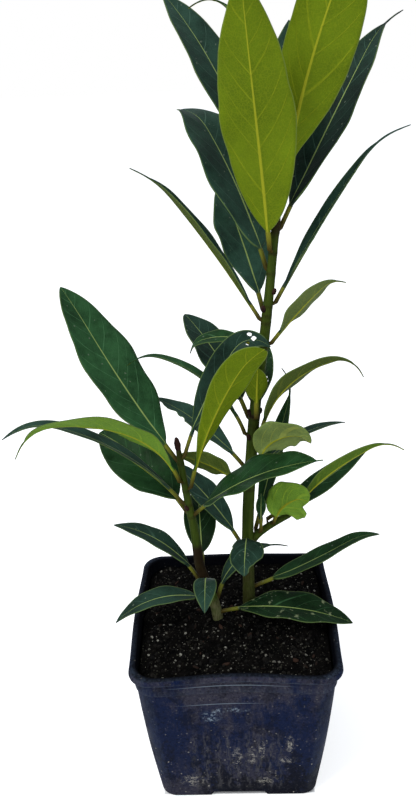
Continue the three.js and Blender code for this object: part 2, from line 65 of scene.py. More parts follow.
WORD = np.uint64(0xFFFFFFFF)
HASH_FACTOR = np.uint64(2654435761)
HASH_SHIFT = np.uint64(15)
SEED_FACTOR = 7919
SEED_START = 12345
AXIS_PRIMES = (73856093, 19349663, 83492791)
CELL_OFFSET = 4096  # keeps cells left of the origin above zero


class Seed(IntEnum):
    """Which of the many noise fields a surface uses."""

    MARGIN = 3
    BARK = 5
    BITE = 8
    RIBS = 21
    DENTS = 31
    SMALL_DENTS = 32
    LUMPS = 41
    SMALL_LUMPS = 43
    GRAIN = 45
    SWELLS = 47


def smooth_step(value: Array) -> Array:
    """A share from 0 to 1 that eases in and out: 3x squared less 2x cubed, held at both ends.

    Args:
        value: Any numbers; those outside 0 to 1 are held.

    Returns:
        The eased shares.
    """
    held = np.clip(value, 0.0, 1.0)
    return held * held * (3.0 - 2.0 * held)


def lattice_draw(cells: Array, seed: int) -> Array:
    """A repeatable number from 0 to 1 for each whole-numbered place.

    Args:
        cells: Whole numbers, with the axes last.
        seed: Chooses one of many such fields.

    Returns:
        One number for each place.
    """
    mixed = np.full(cells.shape[:-1], (seed * SEED_FACTOR + SEED_START) & int(WORD), np.uint64)
    for axis, prime in zip(range(cells.shape[-1]), AXIS_PRIMES):
        shifted = (cells[..., axis] + CELL_OFFSET).astype(np.uint64)
        mixed = (mixed ^ (shifted * np.uint64(prime))) & WORD
        mixed = (mixed * HASH_FACTOR) & WORD
        mixed = mixed ^ (mixed >> HASH_SHIFT)
    return mixed.astype(float) / float(WORD)


def value_noise(places: Array, seed: int) -> Array:
    """Noise from -1 to 1: the draws at the corners of each unit cell, blended by eased shares.

    Args:
        places: Points with their axes last, in units of one cell.
        seed: Chooses one of many such fields.

    Returns:
        One number for each point.
    """
    cell = np.floor(places).astype(np.int64)
    share = smooth_step(places - cell)
    axes = places.shape[-1]
    total = np.zeros(places.shape[:-1])
    for corner in range(2**axes):
        offset = np.array([(corner >> axis) & 1 for axis in range(axes)])
        weight = np.prod(np.where(offset, share, 1.0 - share), axis=-1)
        total += weight * lattice_draw(cell + offset, seed)
    return 2.0 * total - 1.0


def lump_field(places: Array, seed: int) -> Array:
    """Rounded lumps: one minus the distance to the nearest of the points strewn one to a cell.

    Args:
        places: Flat places, two axes last, in units of one cell.
        seed: Chooses one of many such fields.

    Returns:
        Heights from about 0 in the gaps to 1 on the lumps.
    """
    cell = np.floor(places).astype(np.int64)
    nearest = np.full(places.shape[:-1], 9.0)
    for step_x in (-1, 0, 1):
        for step_y in (-1, 0, 1):
            other = cell + np.array([step_x, step_y])
            draws = [lattice_draw(other, seed), lattice_draw(other, seed + 1)]
            middle = other + np.stack(draws, -1)
            nearest = np.minimum(nearest, np.linalg.norm(places - middle, axis=-1))
    return 1.0 - np.clip(nearest, 0.0, 1.0)


def unit(vectors: Array) -> Array:
    """Vectors, three axes last, divided by their own lengths."""
    return vectors / np.linalg.norm(vectors, axis=-1)[..., None]


def round_axis(along: Array, turn: Array) -> Array:
    """Directions square to an axis, all the way round it.

    Args:
        along: The axis, or one for each row.
        turn: Angles round it.

    Returns:
        One direction for each angle, in a row for each axis.
    """
    side = unit(np.cross(along, (0.0, 1.0, 0.0)))
    back = np.cross(along, side)
    cos, sin = np.cos(turn)[:, None], np.sin(turn)[:, None]
    return side[..., None, :] * cos - back[..., None, :] * sin


def axis_turns(angles: Array, axis: int) -> Array:
    """Rotations about one axis: cosines on the other two, the sine and its negative between.

    Args:
        angles: Radians.
        axis: 0, 1 or 2.

    Returns:
        A three by three matrix for each angle.
    """
    first, second = (axis + 1) % 3, (axis + 2) % 3
    made = np.zeros((len(angles), 3, 3))
    made[:, axis, axis] = 1.0
    made[:, first, first] = made[:, second, second] = np.cos(angles)
    made[:, second, first] = np.sin(angles)
    made[:, first, second] = -np.sin(angles)
    return made


def pose(axes: tuple[Array, ...], place: Place) -> Matrix:
    """The matrix that turns X, Y and Z to three directions and moves to a place.

    Args:
        axes: The three directions.
        place: The place.

    Returns:
        The matrix, in metres.
    """
    made = np.eye(4)
    made[:3, :3] = np.stack(axes, -1)
    made[:3, 3] = np.array(place) * MM
    return Matrix(made.tolist())


# ---- Meshes from arrays ----


@dataclass
class Skin:
    """Points and faces that grow into one mesh; each face knows its material's place."""

    points: list[Array] = field(default_factory=list)
    faces: list[Array] = field(default_factory=list)
    slots: list[Array] = field(default_factory=list)
    count: int = 0

    def add_points(self, points: Array) -> int:
        """Adds points.

        Args:
            points: Places with three axes last.

        Returns:
            The number of the first of them.
        """
        flat = points.reshape(-1, 3)
        first = self.count
        self.points.append(flat)
        self.count += len(flat)
        return first

    def add_faces(self, faces: Array, slot: int | Array = 0) -> None:
        """Adds faces of one size, each with its material's place in the list of materials."""
        self.faces.append(faces)
        self.slots.append(np.broadcast_to(slot, len(faces)).astype(np.int32))

    def add_grid(
        self, points: Array, closed: bool = True, slot: int = 0, ends: bool = True
    ) -> None:
        """Adds a grid of points, row by row, with quads between its rows.

        Args:
            points: Rows by points by three axes; along a row they run counter-clockwise when
                seen against the direction from the first row to the last.
            closed: Whether each row's last point joins its first.
            slot: The material's place.
            ends: Whether both end rows are closed by fans to their middles.
        """
        rows, ring = points.shape[:2]
        first = self.add_points(points)
        self.add_faces(first + grid_quads(rows, ring, closed), slot)
        if ends:
            self.add_points(points[[0, -1]].mean(1))
            self.add_faces(first + end_fans(rows, ring), slot)

    def mesh(self, name: str) -> bpy.types.Mesh:
        """The finished mesh, in metres.

        Args:
            name: The mesh's name.

        Returns:
            A mesh with smooth faces, its faces in the order in which they were added.
        """
        mesh = bpy.data.meshes.new(name)
        points = np.concatenate(self.points) * MM
        corners = np.concatenate([f.ravel() for f in self.faces])
        sizes = np.concatenate([np.full(len(f), f.shape[1]) for f in self.faces])
        mesh.vertices.add(len(points))
        mesh.vertices.foreach_set("co", points.astype(np.float32).ravel())
        mesh.loops.add(len(corners))
        mesh.loops.foreach_set("vertex_index", corners.astype(np.int32))
        mesh.polygons.add(len(sizes))
        mesh.polygons.foreach_set("loop_start", (np.cumsum(sizes) - sizes).astype(np.int32))
        mesh.polygons.foreach_set("material_index", np.concatenate(self.slots))
        mesh.polygons.foreach_set("use_smooth", np.ones(len(sizes), bool))
        mesh.update(calc_edges=True)
        return mesh


def grid_quads(rows: int, ring: int, closed: bool) -> Array:
    """The quads of a grid: each joins a point, its neighbour in the row and the two above them.

    Args:
        rows: How many rows the grid has.
        ring: How many points a row has.
        closed: Whether each row's last point joins its first.

    Returns:
        Quads by four point numbers.
    """
    row = np.arange(rows - 1)[:, None]
    here = np.arange(ring if closed else ring - 1)[None, :]
    after = (here + 1) % ring
    low, high = row * ring, (row + 1) * ring
    return np.stack([low + here, low + after, high + after, high + here], -1).reshape(-1, 4)


def end_fans(rows: int, ring: int) -> Array:
    """The triangles that close a grid of closed rings: each joins two neighbours of an end row to
    that row's middle, and the two middles are numbered after all of the grid's points.

    Args:
        rows: How many rows the grid has.
        ring: How many points a row has.

    Returns:
        Triangles by three point numbers.
    """
    here = np.arange(ring)
    after = (here + 1) % ring
    last = (rows - 1) * ring
    foot = np.stack([np.full(ring, rows * ring), after, here], -1)
    top = np.stack([np.full(ring, rows * ring + 1), last + here, last + after], -1)
    return np.concatenate([foot, top])


def set_point_values(mesh: bpy.types.Mesh, name: str, values: Array) -> None:
    """Stores one number for each point under a name that materials read."""
    layer = mesh.attributes.new(name, "FLOAT", "POINT")
    layer.data.foreach_set("value", values.astype(np.float32).ravel())


def set_corner_vectors(mesh: bpy.types.Mesh, name: str, values: Array) -> None:
    """Stores three numbers for each face corner under a name that materials read."""
    layer = mesh.attributes.new(name, "FLOAT_VECTOR", "CORNER")
    layer.data.foreach_set("vector", values.astype(np.float32).ravel())


def placed_object(name: str, data: bpy.types.ID) -> bpy.types.Object:
    """Puts data in the scene as an object at the origin.

    Args:
        name: The object's name.
        data: Its mesh, camera or light.

    Returns:
        The object.
    """
    made = bpy.data.objects.new(name, data)
    bpy.context.scene.collection.objects.link(made)
    return made


def finished_piece(
    mesh: bpy.types.Mesh, slot: str, materials: list[Material], *nodes: str
) -> bpy.types.Object:
    """Puts a mesh in the scene as a piece of the object, on its one body.

    Args:
        mesh: The mesh, in place.
        slot: Not used.
        materials: The materials that its faces name by place.
        nodes: The solids that it stands for.

    Returns:
        The piece.
    """
    piece = placed_object(mesh.name, mesh)
    for material in materials:
        mesh.materials.append(material)
    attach(piece, "root")
    if nodes:
        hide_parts(*nodes)
    LOG.info("%s: %d faces", mesh.name, len(mesh.polygons))
    return piece


# ---- Shader pen and shared groups ----


class Pen:
    """Writes nodes and links into one node tree.

    A mix node has sockets for every kind of data: those named here are its factor and colours.
    """

    MIX_INPUTS = (0, 6, 7)
    MIX_OUTPUT = 2

    def __init__(self, tree: Tree) -> None:
        """Takes the tree to write in."""
        self.tree = tree

    def node(self, kind: str, **settings: object) -> Node:
        """Adds a node.

        Args:
            kind: Its kind.
            settings: Its options.

        Returns:
            The node.
        """
        node = self.tree.nodes.new(kind)
        for key, value in settings.items():
            setattr(node, key, value)
        return node

    def put(self, socket: Socket, value: object) -> None:
        """Links a socket to another, or sets its own number or colour.

        Args:
            socket: The input.
            value: An output, a number or a colour.
        """
        if isinstance(value, Socket):
            self.tree.links.new(value, socket)
        elif isinstance(value, tuple) and len(value) == 3 and socket.type == "RGBA":
            socket.default_value = (*value, 1.0)
        else:
            socket.default_value = value

    def math(self, operation: str, *values: object) -> Socket:
        """One step of arithmetic.

        Args:
            operation: Its name, such as SUBTRACT or MAXIMUM.
            values: What it works on.

        Returns:
            The result.
        """
        node = self.node("ShaderNodeMath", operation=operation)
        for socket, value in zip(node.inputs, values):
            self.put(socket, value)
        return node.outputs[0]

    def times(self, first: object, second: object) -> Socket:
        """The product of two values."""
        return self.math("MULTIPLY", first, second)

    def plus(self, first: object, second: object) -> Socket:
        """The sum of two values."""
        return self.math("ADD", first, second)

    def span(
        self, value: object, low: object, high: object, start: float = 0.0, end: float = 1.0
    ) -> Socket:
        """An eased share: start where a value is low, end where it is high, held outside.

        Args:
            value: The value.
            low: Where the share leaves start.
            high: Where it reaches end.
            start: The share at low.
            end: The share at high.

        Returns:
            The share.
        """
        node = self.node("ShaderNodeMapRange", interpolation_type="SMOOTHSTEP")
        for socket, entry in zip(node.inputs, (value, low, high, start, end)):
            self.put(socket, entry)
        return node.outputs["Result"]

    def mix(self, share: object, first: object, second: object, blend: str = "MIX") -> Socket:
        """A colour between two.

        Args:
            share: How much of the second there is.
            first: One colour.
            second: The other.
            blend: How the second is laid on, such as MULTIPLY.

        Returns:
            The colour.
        """
        node = self.node("ShaderNodeMix", data_type="RGBA", blend_type=blend, clamp_factor=True)
        for place, value in zip(self.MIX_INPUTS, (share, first, second)):
            self.put(node.inputs[place], value)
        return node.outputs[self.MIX_OUTPUT]

    def noise(
        self, vector: object, scale: object, detail: float = 3.0, roughness: float = 0.55
    ) -> Socket:
        """Cloudy noise around one half.

        Args:
            vector: Places.
            scale: Clouds to a metre.
            detail: How many finer layers it has.
            roughness: How strong they are.

        Returns:
            The noise.
        """
        node = self.node("ShaderNodeTexNoise")
        entries = {"Vector": vector, "Scale": scale, "Detail": detail, "Roughness": roughness}
        for name, value in entries.items():
            self.put(node.inputs[name], value)
        return node.outputs["Fac"]

    def cells(self, vector: object, scale: object, feature: str) -> Node:
        """Cells round strewn points.

        Args:
            vector: Places.
            scale: Cells to a metre.
            feature: What is measured, such as F1, the nearest point.

        Returns:
            The node, whose outputs give distances and each cell's own draws.
        """
        node = self.node("ShaderNodeTexVoronoi", feature=feature)
        self.put(node.inputs["Vector"], vector)
        self.put(node.inputs["Scale"], scale)
        return node

    def stretched(self, vector: object, scale: Place, shift: Place = (0.0, 0.0, 0.0)) -> Socket:
        """The same places with each axis scaled and then shifted, which draws a pattern out.

        Args:
            vector: Places.
            scale: The factor for each axis.
            shift: What is then added.

        Returns:
            The new places.
        """
        node = self.node("ShaderNodeMapping")
        self.put(node.inputs["Vector"], vector)
        node.inputs["Scale"].default_value = scale
        node.inputs["Location"].default_value = shift
        return node.outputs[0]

    def places(self) -> Socket:
        """The piece's own coordinates, in metres."""
        return self.node("ShaderNodeTexCoord").outputs["Object"]

    def attribute(self, name: str, output: str = "Fac") -> Socket:
        """A named value that the mesh carries."""
        return self.node("ShaderNodeAttribute", attribute_name=name).outputs[output]

    def split(self, vector: object) -> tuple[Socket, ...]:
        """The three parts of a vector.

        Args:
            vector: The vector.

        Returns:
            Its parts.
        """
        node = self.node("ShaderNodeSeparateXYZ")
        self.put(node.inputs[0], vector)
        return tuple(node.outputs)

    def group(self, tree: Tree, **values: object) -> Node:
        """Places a shared group.

        Args:
            tree: The group.
            values: Its input values, by their names in lower case.

        Returns:
            The group's node.
        """
        node = self.node("ShaderNodeGroup", node_tree=tree)
        for socket in node.inputs:
            key = socket.name.lower().replace(" ", "_")
            if key in values:
                self.put(socket, values[key])
        return node

    def coats(self, colour: object, *layers: tuple[object, float, object]) -> Socket:
        """Lays colours over one another.

        Args:
            colour: What lies under them all.
            layers: Where each coat lies, how strongly and its colour, from the lowest up.

        Returns:
            The colour that is seen.
        """
        for share, strength, coat in layers:
            reach = share if strength == 1.0 else self.times(share, strength)
            colour = self.mix(reach, colour, coat)
        return colour

    def dress(
        self,
        shader: Node,
        colour: object,
        rough: object,
        gloss: float,
        height: object,
        raised: float,
    ) -> None:
        """Sets what a surface looks like.

        Args:
            shader: The Principled shader.
            colour: Its colour.
            rough: Its roughness.
            gloss: Its specular level.
            height: Its fine relief, from 0 to 1.
            raised: How far 1 stands out, in metres.
        """
        relief = self.node("ShaderNodeBump")
        relief.inputs["Distance"].default_value = raised
        self.put(relief.inputs["Height"], height)
        self.put(shader.inputs["Base Color"], colour)
        self.put(shader.inputs["Roughness"], rough)
        shader.inputs["Specular IOR Level"].default_value = gloss
        self.put(shader.inputs["Normal"], relief.outputs["Normal"])


def new_group(
    name: str, inputs: dict[str, float | None], outputs: tuple[str, ...]
) -> tuple[Tree, Pen, Node, Node]:
    """Starts a shared shader group, whose outputs are all numbers.

    Args:
        name: The group's name.
        inputs: Each input's first value, or None for a vector.
        outputs: The outputs' names.

    Returns:
        The group, a pen in it, and the nodes that hold its inputs and its outputs.
    """
    tree = bpy.data.node_groups.new(name, "ShaderNodeTree")
    for title, value in inputs.items():
        kind = "NodeSocketVector" if value is None else "NodeSocketFloat"
        socket = tree.interface.new_socket(title, in_out="INPUT", socket_type=kind)
        if value is not None:
            socket.default_value = value
    for title in outputs:
        tree.interface.new_socket(title, in_out="OUTPUT", socket_type="NodeSocketFloat")
    pen = Pen(tree)
    return tree, pen, pen.node("NodeGroupInput"), pen.node("NodeGroupOutput")


def make_mottle_group() -> Tree:
    """Soft blotches crossed by finer ones, for every surface that isn't quite even.

    The mask is a weighted mean of cloudy noise at the given scale and at five times it, spread
    by contrast about one half.

    Returns:
        The group.
    """
    tree, pen, given, made = new_group(
        "mottle", {"Vector": None, "Scale": 60.0, "Contrast": 2.0}, ("Mask", "Fine")
    )
    vector, scale, contrast = given.outputs[:3]
    broad = pen.noise(vector, scale)
    fine = pen.noise(vector, pen.times(scale, 5.0))
    mean = pen.plus(pen.times(broad, 0.65), pen.times(fine, 0.35))
    spread = pen.math("MULTIPLY_ADD", pen.math("SUBTRACT", mean, 0.5), contrast, 0.5)
    pen.put(made.inputs["Mask"], pen.math("MINIMUM", pen.math("MAXIMUM", spread, 0.0), 1.0))
    pen.put(made.inputs["Fine"], fine)
    return tree


def make_fleck_group() -> Tree:
    """Small irregular flecks: spots round strewn points, of which a share is kept by draw.

    Amount is the share that is kept, size the spot's radius as a share of a cell. The places
    are first warped by noise, so no spot is quite round.

    Returns:
        The group.
    """
    tree, pen, given, made = new_group(
        "flecks", {"Vector": None, "Scale": 400.0, "Size": 0.3, "Amount": 0.5}, ("Mask", "Shade")
    )
    vector, scale, size, amount = given.outputs[:4]
    warp = pen.node("ShaderNodeTexNoise")
    pen.put(warp.inputs["Vector"], vector)
    pen.put(warp.inputs["Scale"], pen.times(scale, 1.7))
    shift = pen.node("ShaderNodeVectorMath", operation="MULTIPLY_ADD")
    for socket, value in zip(shift.inputs, (warp.outputs["Color"], (0.9 * MM,) * 3, vector)):
        pen.put(socket, value)
    spots = pen.cells(shift.outputs[0], scale, "F1")
    draw, shade, _ = pen.split(spots.outputs["Color"])
    rare = [pen.math("SUBTRACT", bound, amount) for bound in (1.0, 1.08)]
    keep = pen.span(draw, *rare)
    core = pen.span(spots.outputs["Distance"], pen.times(size, 0.6), size, 1.0, 0.0)
    pen.put(made.inputs["Mask"], pen.times(keep, core))
    pen.put(made.inputs["Shade"], shade)
    return tree


def make_vein_group() -> Tree:
    """Where a leaf's ribs run, from what its mesh carries for each place on the blade.

    rib_place holds the distance from the midrib, the distance from the margin and the side
    veins' phase; blade_place holds the share of the blade's length, from -1 at the stem to 0
    along the petiole, the side veins' spacing and the half width there. A side vein lies where
    its phase is one half past a whole number.

    Returns:
        The group.
    """
    tree, pen, given, made = new_group(
        "leaf_veins",
        {"Midrib Width": 0.7, "Vein Width": 0.3},
        ("Midrib", "Veins", "Net", "Margin", "Petiole", "Foot"),
    )
    midrib_width, vein_width = given.outputs[:2]
    rib, margin, phase = pen.split(pen.attribute("rib_place", "Vector"))
    share, spacing, half = pen.split(pen.attribute("blade_place", "Vector"))
    thin = pen.times(midrib_width, pen.span(share, 0.0, 1.0, 1.0, 0.22))
    thin = pen.times(thin, pen.span(half, 2.0, 10.0, 0.6, 1.0))
    past = pen.math("ABSOLUTE", pen.math("SUBTRACT", pen.math("FRACT", phase), 0.5))
    off = pen.times(past, spacing)
    line = pen.span(off, pen.times(vein_width, 0.3), vein_width, 1.0, 0.0)
    surface = pen.node("ShaderNodeUVMap", uv_map="blade").outputs[0]
    uneven = pen.span(pen.noise(surface, 16.0), 0.34, 0.60, 0.35, 1.0)
    inside = pen.times(pen.span(margin, 0.3, 2.4), uneven)
    net = pen.cells(surface, 95.0, "DISTANCE_TO_EDGE").outputs["Distance"]
    edge = pen.span(margin, 0.16, 0.52, 1.0, 0.0)
    results = {
        "Midrib": pen.span(rib, pen.times(thin, 0.45), thin, 1.0, 0.0),
        "Veins": pen.times(pen.times(line, inside), pen.span(share, 0.01, 0.05)),
        "Net": pen.span(net, 0.02, 0.12, 1.0, 0.0),
        "Margin": pen.times(edge, pen.span(half, 1.2, 2.4)),
        "Petiole": pen.span(share, -0.1, 0.03, 1.0, 0.0),
        "Foot": pen.span(share, -1.0, -0.15, 0.95, 0.0),
    }
    for name, result in results.items():
        pen.put(made.inputs[name], result)
    return tree


@dataclass(frozen=True)
class Effects:
    """The shader groups that more than one material uses."""

    mottle: Tree
    flecks: Tree
    veins: Tree

    def blotches(self, pen: Pen, places: Socket, scale: float, contrast: float) -> Sockets:
        """The mottle group's outputs for that scale and contrast."""
        return pen.group(self.mottle, vector=places, scale=scale, contrast=contrast).outputs

    def spots(self, pen: Pen, places: Socket, scale: float, size: float, amount: float) -> Sockets:
        """The fleck group's outputs for that scale, size and amount."""
        values = {"vector": places, "scale": scale, "size": size, "amount": amount}
        return pen.group(self.flecks, **values).outputs

    def ribs(self, pen: Pen, midrib_width: float, vein_width: float) -> Sockets:
        """The vein group's outputs for those widths, in millimetres."""
        values = {"midrib_width": midrib_width, "vein_width": vein_width}
        return pen.group(self.veins, **values).outputs


def new_material(name: str) -> tuple[Material, Pen, Node]:
    """An empty material.

    Args:
        name: The material's name.

    Returns:
        The material, a pen in its tree and its Principled shader.
    """
    material = bpy.data.materials.new(name)
    material.use_nodes = True
    tree = material.node_tree
    tree.nodes.clear()
    pen = Pen(tree)
    shader = pen.node("ShaderNodeBsdfPrincipled")
    output = pen.node("ShaderNodeOutputMaterial")
    tree.links.new(shader.outputs[0], output.inputs[0])
    return material, pen, shader


# ---- Finishes ----


def scaled(colour: Colour, factor: float, lift: float = 0.0) -> Colour:
    """A colour with each part times a factor plus a lift."""
    return tuple(factor * part + lift for part in colour)


@dataclass(frozen=True)
class Tone:
    """The colour of one side of a leaf and how much light its wax throws back."""

    colour: Colour
    gloss: float


class UpperTone(Enum):
    """A leaf's upper side."""

    DEEP = Tone((0.0078, 0.031, 0.0085), 0.07)
    GREEN = Tone((0.0150, 0.052, 0.018), 0.08)
    # bluish grey-green upper side: partly the leaf's own tone, partly a painted sheen of reflected
    # sky
    GREY_SHEEN = Tone((0.0120, 0.032, 0.021), 0.08)


class UnderTone(Enum):
    """A leaf's underside."""

    FRESH = Tone((0.125, 0.190, 0.006), 0.05)
    PALE = Tone((0.120, 0.230, 0.026), 0.05)
    DULL = Tone((0.150, 0.212, 0.062), 0.05)
    OLIVE = Tone((0.064, 0.098, 0.018), 0.05)


@dataclass(frozen=True)
class UpperFinish:
    """Leathery, waxy upper side: deep green with pale ribs and a thin pale margin."""

    tone: UpperTone
    rib: Colour = (0.33, 0.44, 0.13)
    margin: Colour = (0.13, 0.20, 0.06)
    petiole: Colour = (0.16, 0.17, 0.020)
    foot: Colour = (0.050, 0.035, 0.008)
    speck: Colour = (0.18, 0.22, 0.16)
    scar: Colour = (0.22, 0.26, 0.14)

    def material(self, effects: Effects) -> Material:
        """Builds the material with the shared groups; shade is each leaf's lightness: partly its
        own tone, partly painted light and shade for how brightly the leaf is lit.

        Args:
            effects: The shared shader groups.

        Returns:
            The material.
        """
        material, pen, shader = new_material("leaf_upper_" + self.tone.name.lower())
        places, tone = pen.places(), self.tone.value
        mottle = effects.blotches(pen, places, 60.0, 4.0)
        ribs = effects.ribs(pen, 0.56, 0.20)
        specks = effects.spots(pen, places, 560.0, 0.26, 0.13)
        scarred = pen.span(pen.noise(places, 260.0, 4.0), 0.60, 0.67)
        dark, light = scaled(tone.colour, 0.78), scaled(tone.colour, 1.9, 0.001)
        vein = scaled(tone.colour, 3.2, 0.018)
        colour = pen.mix(mottle["Mask"], dark, light)
        # painted light and shade: the leaf's shade value also lightens or darkens it for how it is
        # lit
        colour = pen.mix(1.0, colour, pen.attribute("shade"), "MULTIPLY")
        colour = pen.coats(
            colour,
            (ribs["Net"], 0.07, vein),
            (ribs["Veins"], 0.85, vein),
            (ribs["Margin"], 0.7, self.margin),
            (pen.times(pen.attribute("scars"), scarred), 1.0, self.scar),
            (ribs["Midrib"], 0.9, self.rib),
            (ribs["Petiole"], 1.0, self.petiole),
            (ribs["Foot"], 1.0, self.foot),
            (specks["Mask"], 0.55, self.speck),
        )
        rough = pen.span(mottle["Fine"], 0.25, 0.75, 0.34, 0.50)
        height = pen.math("MULTIPLY_ADD", ribs["Net"], -0.25, pen.times(ribs["Veins"], -0.6))
        height = pen.plus(height, pen.times(mottle["Fine"], 0.5))
        pen.dress(shader, colour, rough, tone.gloss, height, 0.12 * MM)
        return material


@dataclass(frozen=True)
class UnderFinish:
    """Matt underside, yellower and lighter, with raised yellow ribs and a fine net."""

    tone: UnderTone
    rib: Colour = (0.36, 0.37, 0.02)
    margin: Colour = (0.20, 0.27, 0.06)
    petiole: Colour = (0.21, 0.21, 0.020)
    foot: Colour = (0.055, 0.038, 0.009)

    def material(self, effects: Effects) -> Material:
        """Builds the material with the shared groups; shade is each leaf's lightness: partly its
        own tone, partly painted light and shade for how brightly the leaf is lit.

        Args:
            effects: The shared shader groups.

        Returns:
            The material.
        """
        material, pen, shader = new_material("leaf_under_" + self.tone.name.lower())
        places, tone = pen.places(), self.tone.value
        mottle = effects.blotches(pen, places, 45.0, 2.6)
        ribs = effects.ribs(pen, 0.75, 0.34)
        red, green, blue = tone.colour
        vein = (1.7 * red + 0.014, 1.4 * green + 0.014, blue + 0.004)
        dark, light = scaled(tone.colour, 0.80), scaled(tone.colour, 1.18)
        colour = pen.mix(mottle["Mask"], dark, light)
        colour = pen.coats(colour, (ribs["Net"], 0.34, vein), (ribs["Veins"], 0.8, vein))
        # painted light and shade: the leaf's shade value also lightens or darkens it for how it is
        # lit
        colour = pen.mix(1.0, colour, pen.attribute("shade"), "MULTIPLY")
        colour = pen.coats(
            colour,
            (ribs["Margin"], 0.6, self.margin),
            (ribs["Midrib"], 0.9, self.rib),
            (ribs["Petiole"], 1.0, self.petiole),
            (ribs["Foot"], 1.0, self.foot),
        )
        rough = pen.span(mottle["Fine"], 0.3, 0.7, 0.52, 0.64)
        height = pen.math("MULTIPLY_ADD", ribs["Net"], 0.3, ribs["Veins"])
        pen.dress(shader, colour, rough, tone.gloss, height, 0.12 * MM)
        return material


@dataclass(frozen=True)
class BarkFinish:
    """Smooth young bark, green with olive streaks, brown rings where leaves sat and a tan foot."""

    green: Colour = (0.022, 0.044, 0.003)
    pale: Colour = (0.056, 0.084, 0.008)
    brown: Colour = (0.019, 0.011, 0.004)
    tan: Colour = (0.170, 0.165, 0.085)
    gloss: float = 0.08

    def material(self, effects: Effects) -> Material:
        """Builds the material with the shared groups; brownness and tan are the mesh's own.

        Args:
            effects: The shared shader groups.

        Returns:
            The material.
        """
        material, pen, shader = new_material("stem_bark")
        places = pen.places()
        drawn = pen.stretched(places, (1.0, 1.0, 0.09))
        streaks = effects.blotches(pen, drawn, 620.0, 2.8)
        blotches = effects.blotches(pen, places, 160.0, 2.4)
        brown = pen.math("SUBTRACT", pen.attribute("brownness"), 0.17)
        brown = pen.math("MULTIPLY_ADD", blotches["Mask"], 0.35, brown)
        woody = pen.times(pen.attribute("tan"), pen.span(streaks["Fine"], 0.36, 0.62, 0.25, 1.0))
        colour = pen.coats(
            pen.mix(streaks["Mask"], self.green, self.pale),
            (pen.span(brown, 0.05, 0.75), 1.0, self.brown),
            (woody, 1.0, self.tan),
        )
        rough = pen.span(streaks["Mask"], 0.0, 1.0, 0.45, 0.6)
        height = pen.plus(streaks["Mask"], blotches["Fine"])
        pen.dress(shader, colour, rough, self.gloss, height, 0.18 * MM)
        return material


@dataclass(frozen=True)
class BudFinish:
    """Hard dark red-brown bud scales."""

    dark: Colour = (0.012, 0.005, 0.005)
    light: Colour = (0.040, 0.016, 0.011)
    gloss: float = 0.08

    def material(self, effects: Effects) -> Material:
        """Builds the material with the shared groups.

        Args:
            effects: The shared shader groups.

        Returns:
            The material.
        """
        material, pen, shader = new_material("bud_scales")
        mottle = effects.blotches(pen, pen.places(), 420.0, 3.0)
        colour = pen.mix(mottle["Mask"], self.dark, self.light)
        rough = pen.span(mottle["Fine"], 0.3, 0.7, 0.4, 0.55)
        pen.dress(shader, colour, rough, self.gloss, mottle["Mask"], 0.1 * MM)
        return material


@dataclass(frozen=True)
class Patch:
    """An oval patch on the pot's front: its middle and its half sizes, in metres."""

    x: float
    z: float
    wide: float
    tall: float

    def share(self, pen: Pen, places: Socket, front: Socket) -> Socket:
        """How much of the patch is at each place: 1 round its middle, eased to 0 past its edge.

        Args:
            pen: A pen in the material.
            places: The piece's coordinates.
            front: 1 on the pot's front and 0 elsewhere.

        Returns:
            The share.
        """
        far = pen.node("ShaderNodeVectorMath", operation="LENGTH")
        shift = (-self.x / self.wide, 0.0, -self.z / self.tall)
        oval = pen.stretched(places, (1.0 / self.wide, 0.0, 1.0 / self.tall), shift)
        pen.put(far.inputs[0], oval)
        return pen.times(pen.span(far.outputs["Value"], 0.35, 1.3, 1.0, 0.0), front)


